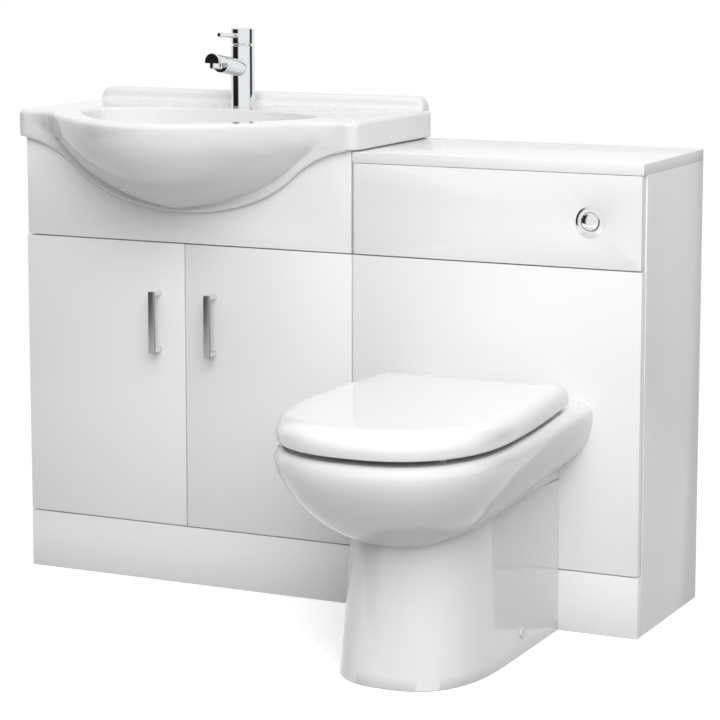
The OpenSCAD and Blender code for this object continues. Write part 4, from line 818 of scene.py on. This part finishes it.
# %% Seat ring and lid
HINGE_Y, HINGE_LIFT, LID_W, LID_H, LID_REACH = 75, 20.2, 177, 42, 542
RING_IN, HOLE_W, HOLE_Y = 19, 105, -225
SEAT_TILT = radians(1.1)
HINGE_Z = PAN_RIM + RIM_RISE * (RIM_REACH - HINGE_Y) + HINGE_LIFT
LID_NOSE = (LID_REACH - HINGE_Y) / cos(SEAT_TILT)
RING_FLOOR, RING_T, RING_BACK, LID_FLOOR = -15, 18, -15, -14
LID_CEILING = LID_FLOOR + LID_H - 14
SIDE_Y = NOSE_Y + HINGE_Y
SEAT_SPOT = spot(PAN_X, -HINGE_Y, HINGE_Z)
SEAT_TURN = Matrix.Rotation(SEAT_TILT, 4, "X")


def level(outline, z):
    return [(x, y, z) for x, y in outline]


outer = d_shape(LID_W - RING_IN, LID_W - RING_IN - 8, RING_BACK, SIDE_Y, RING_IN - LID_NOSE, BOWL_N)
inner = egg(HOLE_W, RING_BACK - 85, HOLE_Y, RING_IN + 83 - LID_NOSE, 2.2)
sections = [(0.05, 0.6), (0.12, 0), (0.3, 0), (0.6, 0), (0.88, 0), (0.965, 0.5), (0.995, 2), (1, 4.5),
            (1, RING_T - 7), (0.99, RING_T - 4.2), (0.965, RING_T - 2), (0.91, RING_T - 0.6),
            (0.82, RING_T), (0.65, RING_T + 0.1), (0.45, RING_T), (0.3, RING_T - 0.4),
            (0.2, RING_T - 1.4), (0.11, RING_T - 3.4), (0.045, RING_T - 6.6), (0.01, RING_T - 10),
            (0, 6), (0.01, 3)]
ring_levels = [level([mix(i, o, f) for i, o in zip(inner, outer)], RING_FLOOR + z) for f, z in sections]
ring_body = finished("seat_ring_body", skin(ring_levels, closed=True), SEAT_SPOT, "seat_ring",
                     "seat_plastic", "seat_ring", turn=SEAT_TURN)

LID_LEVELS = [(4.4, 4.4, 11, 0.2), (3.2, 3.6, 11, 0), (1.9, 2.9, 11, 0.9), (1, 2.4, 11, 2.4),
              (0.5, 1.4, 10.6, 6), (0.1, 0.4, 10, 10), (0, 0, 9, 14), (0.5, 0.8, 8, 18),
              (1.6, 2.6, 6, 22.5), (3.2, 5.2, 3.6, 26), (5.4, 8.2, -1, 29.6), (8.2, 11.6, -8, 32.8),
              (11.6, 15.8, -17, 35.4), (15.8, 21.2, -29, 37.6), (22, 29, -40, 39.2),
              (32, 41, -52, 40.2)]
LID_INSIDE = [(8, 7, -10, 24), (6.4, 6.2, 0, 18), (5.8, 5.8, 3, 6), (5.4, 5, 5, 0.6), (4.9, 4.7, 8, 0)]
NOTCH_X, NOTCH_Z, NOTCH_Y = 109, 10, 4


def lid_level(inset, back, rear, height):
    """A level of the lid. At the rear the skirt is cut away over the hinge, between two notches."""
    z = LID_FLOOR + height
    points = level(d_shape(LID_W - inset, LID_W - 22 - inset, rear, SIDE_Y, -LID_NOSE + back, BOWL_N), z)
    cut = (min(rear, NOTCH_Y), NOTCH_Z) if z < NOTCH_Z else (rear, z)
    gap = [(NOTCH_X + 0.2, rear, z), (NOTCH_X, *cut), (-NOTCH_X, *cut), (-NOTCH_X - 0.2, rear, z)]
    seam = NOSE_N + 1 + FLANK_N
    return points[:seam] + gap + points[seam:]


def lid_crown(row, share, height):
    """A level drawn in towards the lid's middle, at its own height."""
    return [(x * share, mix(SIDE_Y * 0.9, y, share), LID_FLOOR + height) for x, y, _ in lid_level(*row)]


lid_rings = [lid_crown(LID_INSIDE[0], s, LID_CEILING - LID_FLOOR) for s in (0.2, 0.5, 0.8)]
lid_rings += [lid_level(*row) for row in LID_INSIDE + LID_LEVELS]
lid_rings += [lid_crown(LID_LEVELS[-1], s, h)
              for s, h in ((0.85, 41), (0.65, 41.6), (0.45, 41.85), (0.25, 41.95), (0.1, 42))]
lid = finished("seat_lid_shell", skin(lid_rings), SEAT_SPOT, "seat_lid", "seat_plastic", "seat_lid",
               turn=SEAT_TURN)


def knuckle(name, node, start, length, radius, low, high):
    """Two barrels on the hinge line, each on an arm between a low and a high corner."""
    bm = bmesh.new()
    for side in (-1, 1):
        along = Matrix.Translation((side * (start + length / 2), 0, 0)) @ Matrix.Rotation(pi / 2, 4, "Y")
        turned([(0, -length / 2), (radius, -length / 2, 0.8), (radius, length / 2, 0.8), (0, length / 2)],
               40, along, bm)
        near, far = sorted((side * low[0], side * high[0]))
        block(Vector((near, *low[1:])), Vector((far, *high[1:])), 1, bm=bm)
    finished(name, bm, SEAT_SPOT, node, "seat_plastic", node, turn=SEAT_TURN)


HINGE_X = 77
knuckle("seat_ring_knuckles", "seat_ring", HINGE_X - 27, 19.5, 8.5,
        (HINGE_X - 27, -30, -8), (HINGE_X - 7.5, 0, 2.4))
knuckle("seat_lid_knuckles", "seat_lid", HINGE_X + 7.5, 20, 9,
        (HINGE_X + 7.5, -8.6, 1), (HINGE_X + 27.5, -3.2, LID_CEILING + 1.2))
print("seat:", len(ring_body.data.polygons), "and", len(lid.data.polygons), "faces")

# %% [markdown]
# The tap is all round bars. The body and the cap are turned on a lathe with a fine groove between
# them. The spout and the lever pin are skins through circles along a line, so that the spout can be
# cut flat under its tip and the pin can end in a rounded nose.

# %% Tap
(TAP_X, TAP_Y, _), TAP_R = middle_of("tap_body")
BODY_H, GROOVE, CAP_H = 107, 3, 27
CAP_Z = RIM + BODY_H + GROOVE
LEVER_UP, LEVER_TILT, LEVER_REACH, PIN_R, PIN_NOSE = 13, tan(radians(4)), 85, 4.2, 1.6

bm = turned([(0, 0), (TAP_R + 0.5, 0), (TAP_R + 0.5, 1.2, 0.5), (TAP_R, 1.8, 0.4), (TAP_R, BODY_H, 1.1),
             (TAP_R - 2.3, BODY_H, 0.3), (TAP_R - 2.3, BODY_H + GROOVE - 0.6),
             (0, BODY_H + GROOVE - 0.6)], 96)
finished("tap_body_turned", bm, spot(TAP_X, TAP_Y, RIM), "tap_body", "chrome", sharp=40)


def pin_rings(start, end):
    """Circles along a line in the plane of Y and Z, the last ones drawn in to a rounded nose."""
    way = (end - start).normalized()
    across, up = Vector((1, 0, 0)), Vector((1, 0, 0)).cross(way).normalized()
    stations = [(start.lerp(end, k / 4), PIN_R) for k in range(4)]
    for a in [pi / 2 * k / 6 for k in range(7)]:
        stations.append((end - way * PIN_NOSE * (1 - sin(a)), PIN_R - PIN_NOSE + PIN_NOSE * cos(a)))
    turn = [tau * j / 32 for j in range(32)]
    return [[tuple(p + (across * cos(a) + up * sin(a)) * r) for a in turn] for p, r in stations]


SPOUT_R, SPOUT_REACH, SPOUT_Z, SPOUT_RISE = 15, 111, 66, radians(9.5)
TIP_DROP = SPOUT_REACH * tan(SPOUT_RISE) - 3
rings = []
for t in (14, 40, 60, 76, 81.6, 82.4, 84, 90, 97, 104, 108.4, 109.9, 110.6, 111):
    centre_z = t * tan(SPOUT_RISE)
    radius = SPOUT_R - (0 if t < 108 else 1.6 * ((t - 108) / 3) ** 2)
    points = []
    for j in range(64):
        a = tau * j / 64
        x, z = radius * cos(a), centre_z + radius * sin(a) / cos(SPOUT_RISE)
        points.append((x, -t, max(z, TIP_DROP) if t > 82 else z))
    rings.append(points)
finished("tap_spout_bar", skin(rings), spot(TAP_X, TAP_Y, RIM + SPOUT_Z), "tap_spout", "chrome", sharp=40)

bm = turned([(7.2, 1.2), (7.2, 9.5), (0, 9.5)], 40)
turned([(8, 0), (11.2, 0, 0.6), (11.5, 3, 0.2), (11.5, 10), (7.2, 10), (7.2, 0.8), (8, 0)], 64, bm=bm)
finished("tap_aerator_ring", bm, spot(TAP_X, TAP_Y - SPOUT_REACH + 13, RIM + SPOUT_Z + TIP_DROP - 10),
         "tap_aerator", "chrome")

bm = turned([(0, CAP_H - 4), (TAP_R - 3.5, CAP_H - 4), (TAP_R - 3.5, 0), (TAP_R, 0, 0.9),
             (TAP_R, CAP_H, 2), (0, CAP_H)], 96)
lift = Matrix.Rotation(radians(18), 4, "X")
bmesh.ops.bisect_plane(bm, geom=bm.verts[:] + bm.edges[:] + bm.faces[:], plane_co=(0, 0, -0.5),
                       plane_no=lift @ Vector((0, 0, 1)), clear_inner=True)
bmesh.ops.bridge_loops(bm, edges=[e for e in bm.edges if e.is_boundary])
pin_start, pin_end = [Vector((0, -reach, reach * LEVER_TILT + LEVER_UP))
                      for reach in (TAP_R - 3, LEVER_REACH)]
skin(pin_rings(pin_start, pin_end), bm=bm)
finished("tap_cap_turned", bm, spot(TAP_X, TAP_Y, CAP_Z), "tap_cap", "chrome", "tap_lever", sharp=40)
print("tap on the deck at", round(TAP_X), round(TAP_Y), "mm, top", round(CAP_Z + CAP_H), "mm")

# %% [markdown]
# The waste sits in the bowl's floor: a flange with a soft rim, and a domed plug that lifts out of it.

# %% Waste and plug
FLOOR_Z = RIM - BOWL_DEPTH
bm = turned([(17.5, -16), (17.5, 0.4, 1.2), (25.5, 0.8, 0.5), (27.5, 1.4, 0.8), (28.6, 3.1, 0.6),
             (31, 3.4, 0.8), (33, 0.6, 0.3), (33, -0.4), (21, -2, 0.5), (21, -84), (18, -84),
             (17.5, -16)], 72)
finished("basin_waste_flange", bm, spot(BASIN_X, WASTE_Y, FLOOR_Z), "basin_waste", "chrome")
bm = turned([(0, -34), (4, -34, 0.5), (4, 1.6, 0.4), (25, 1.6), (26.5, 1.6, 0.6), (26.5, 3.4, 0.9),
             (23, 5, 2), (12, 5.6, 3), (0, 5.7)], 72)
finished("waste_plug_dome", bm, spot(BASIN_X, WASTE_Y, FLOOR_Z), "waste_plug", "chrome", "waste_plug")
print("waste at", WASTE_Y, "mm behind the fronts, floor", FLOOR_Z, "mm")

# %% [markdown]
# Boards come next. Each one is cut to its node's box, with its edges eased by a millimetre, as foil
# is wrapped round a board. The board round the flush button has a round hole, so its face is a skin
# from the rectangle to the circle. The board over the doors is cut away behind the apron.

# %% Boards and fronts
ORIGIN = spot(0, 0, 0)


def board(node, body="unit", eased=0.9, ending="_eased"):
    """A board with eased edges in the box of its node."""
    finished(node + ending, block(*size_mm(node), eased), ORIGIN, node, "board_white", body)


for node in ("vanity_left_side", "vanity_plinth", "wc_right_side", "wc_worktop", "wc_plinth"):
    board(node)
board("left_door", "left_door", 1.1)
board("right_door", "right_door", 1.1)

low, high = size_mm("vanity_fascia")
half = (high.x - low.x) / 2
xs = [half * k / 60 for k in range(-60, 61)]
top_edge = [(x, min(high.z, max(low.z + 20, apron_low(x) + 10)) if abs(x) < SWEEP_END else high.z)
            for x in xs]
outline = top_edge + [(half, low.z), (-half, low.z)]
fascia = ease(plate(outline, low.y, high.y), 0.9)
finished("vanity_fascia_cut", fascia, spot(BASIN_X, 0, 0), "vanity_fascia", "board_white")

low, high = size_mm("wc_upper_panel")
(BUTTON_X, _, BUTTON_Z), BUTTON_R = middle_of("flush_button")
HOLE_R = 19


def frame_point(a):
    """Where a ray from the button's middle meets the edge of the panel."""
    c, s = cos(a), sin(a)
    across = (high.x - BUTTON_X if c > 0 else low.x - BUTTON_X) / c if abs(c) > 1e-6 else 1e9
    along = (high.z - BUTTON_Z if s > 0 else low.z - BUTTON_Z) / s if abs(s) > 1e-6 else 1e9
    reach = min(across, along)
    return BUTTON_X + reach * c, BUTTON_Z + reach * s


corners = [atan2(z - BUTTON_Z, x - BUTTON_X) % tau for x in (low.x, high.x) for z in (low.z, high.z)]
turns = sorted([tau * k / 60 for k in range(60)] + corners)
outside = [frame_point(a) for a in turns]
inside = [(BUTTON_X + HOLE_R * cos(a), BUTTON_Z + HOLE_R * sin(a)) for a in turns]
loops = [[(x, y, z) for x, z in line] for line, y in (
    (outside, low.y), (inside, low.y), (inside, high.y), (outside, high.y))]
finished("wc_upper_panel_cut", ease(skin(loops, closed=True), 0.9), ORIGIN, "wc_upper_panel", "board_white")
board("wc_lower_panel", ending="_face")

# %% [markdown]
# Each handle is a flat satin bar on two bright legs. The bar's edges are softly broken, and each leg
# flares a little where it meets the bar and stands on a thin collar at the door.

# %% Handles
OUT = Matrix.Rotation(pi / 2, 4, "X")
BAR_T, LEG_IN = 4.5, 4.5
for side in ("left", "right"):
    node, body = side + "_handle", side + "_door"
    low, high = size_mm(node)
    middle = (low + high) / 2
    bar = block(low, Vector((high.x, low.y + BAR_T, high.z)), 0.9, segments=3)
    finished(node + "_bar", bar, ORIGIN, node, "satin_metal", body)
    bm = bmesh.new()
    stand = high.y - low.y - BAR_T
    for z in (low.z + LEG_IN - middle.z, high.z - LEG_IN - middle.z):
        turned([(0, 0), (4.5, 0, 0.3), (4.5, 1.4, 0.3), (4.1, 1.8, 0.6), (3.9, stand - 4, 2),
                (4.5, stand), (4.5, stand + 1), (0, stand + 1)], 40, Matrix.Translation((0, 0, z)) @ OUT, bm)
    finished(node + "_legs", bm, spot(middle.x, high.y, middle.z), node, "chrome", body)

# %% [markdown]
# The flush button is a shallow dome inside a stepped ring. All of it is turned about a line that
# points out of the panel, so the profiles run from the panel's face towards the room.

# %% Flush button
FLANGE_R = middle_of("button_bezel")[1]
bore = BUTTON_R + 0.4
bm = turned([(bore, -8), (bore, 3.6, 0.5), (BUTTON_R + 2, 4, 0.6), (FLANGE_R - 4.4, 4, 0.5),
             (FLANGE_R - 3.6, 2.7, 0.4), (FLANGE_R - 0.6, 2.3, 0.6), (FLANGE_R, 1.2, 0.4), (FLANGE_R, 0),
             (18.4, 0), (18.4, -22), (24.5, -22, 0.3), (24.5, -25, 0.3), (18.4, -25), (18.4, -58),
             (bore, -58), (bore, -8)], 96, OUT)
finished("button_ring", bm, spot(BUTTON_X, 0, BUTTON_Z), "button_bezel", "chrome")
bm = turned([(0, -49), (4, -49), (4, -17), (BUTTON_R - 0.1, -17), (BUTTON_R - 0.1, 3.2, 0.9),
             (BUTTON_R - 1.8, 4.4, 0.8), (BUTTON_R * 0.62, 5.5, 2), (BUTTON_R * 0.3, 5.95, 2), (0, 6)],
            96, OUT)
finished("button_dome", bm, spot(BUTTON_X, 0, BUTTON_Z), "flush_button", "chrome", "flush_button")
print("button at", round(BUTTON_X), round(BUTTON_Z), "mm, ring", round(2 * FLANGE_R), "mm")

# %% [markdown]
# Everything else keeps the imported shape: carcass boards, hinges, screws, the trap, the cistern and
# its valves. These pieces still get the finish of what they are made of, on their own slots, and a
# small modifier joins the facets' corners so that round faces shade round and edges stay crisp.

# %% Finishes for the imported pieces
JOIN_GAP, CRISP_ANGLE = 0.00002, 32


def build_facet_tool():
    """Joins corners that coincide, then shades smooth up to an angle."""
    tree = bpy.data.node_groups.new("join_and_shade", "GeometryNodeTree")
    for way in ("INPUT", "OUTPUT"):
        tree.interface.new_socket("Geometry", in_out=way, socket_type="NodeSocketGeometry")
    given = put(tree, "NodeGroupInput").outputs[0]
    joined = put(tree, "GeometryNodeMergeByDistance", {"Geometry": given, "Distance": JOIN_GAP})
    angle = put(tree, "GeometryNodeInputMeshEdgeAngle").outputs["Unsigned Angle"]
    crisp = put(tree, "FunctionNodeCompare", {"A": angle, "B": radians(CRISP_ANGLE)},
                operation="LESS_THAN").outputs["Result"]
    faces = put(tree, "GeometryNodeSetShadeSmooth", {"Geometry": joined.outputs[0]}, domain="FACE")
    edges = put(tree, "GeometryNodeSetShadeSmooth", {"Geometry": faces.outputs[0], "Shade Smooth": crisp},
                domain="EDGE")
    put(tree, "NodeGroupOutput", {0: edges.outputs[0]})
    return tree


facet_tool = build_facet_tool()
PACKED = {
    "board_white": ("vanity_right_side", "vanity_base", "vanity_back_rails", "vanity_front_rail",
                    "wc_left_side", "wc_back_rails", "wc_front_rail"),
    "zinc_steel": ("left_handle_screws", "right_handle_screws", "left_hinge_cups", "right_hinge_cups",
                   "hinge_arms", "joining_bolts", "waste_nut", "tap_stud", "tap_nut", "tap_spindle"),
    "plastic_white": ("door_bumpers", "bottle_trap", "waste_pipe", "tap_cartridge", "cistern_tank",
                      "cistern_cover", "flush_tower", "fill_valve", "float_arm", "flush_pipe",
                      "pan_connector", "pan_fixing_caps"),
    "seat_plastic": ("ring_buffers", "lid_buffers"),
    "chrome": ("overflow_ring", "seat_hinge_posts"),
    "rubber_dark": ("waste_washer", "flush_plunger", "flush_cone"),
}
for key, names in PACKED.items():
    for name in names:
        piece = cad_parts[name]
        for held in piece.material_slots:
            held.link = "OBJECT"
            held.material = FINISH[key]
        tool = piece.modifiers.new("join_and_shade", "NODES")
        tool.node_group = facet_tool
print("packed pieces finished:", sum(len(names) for names in PACKED.values()))
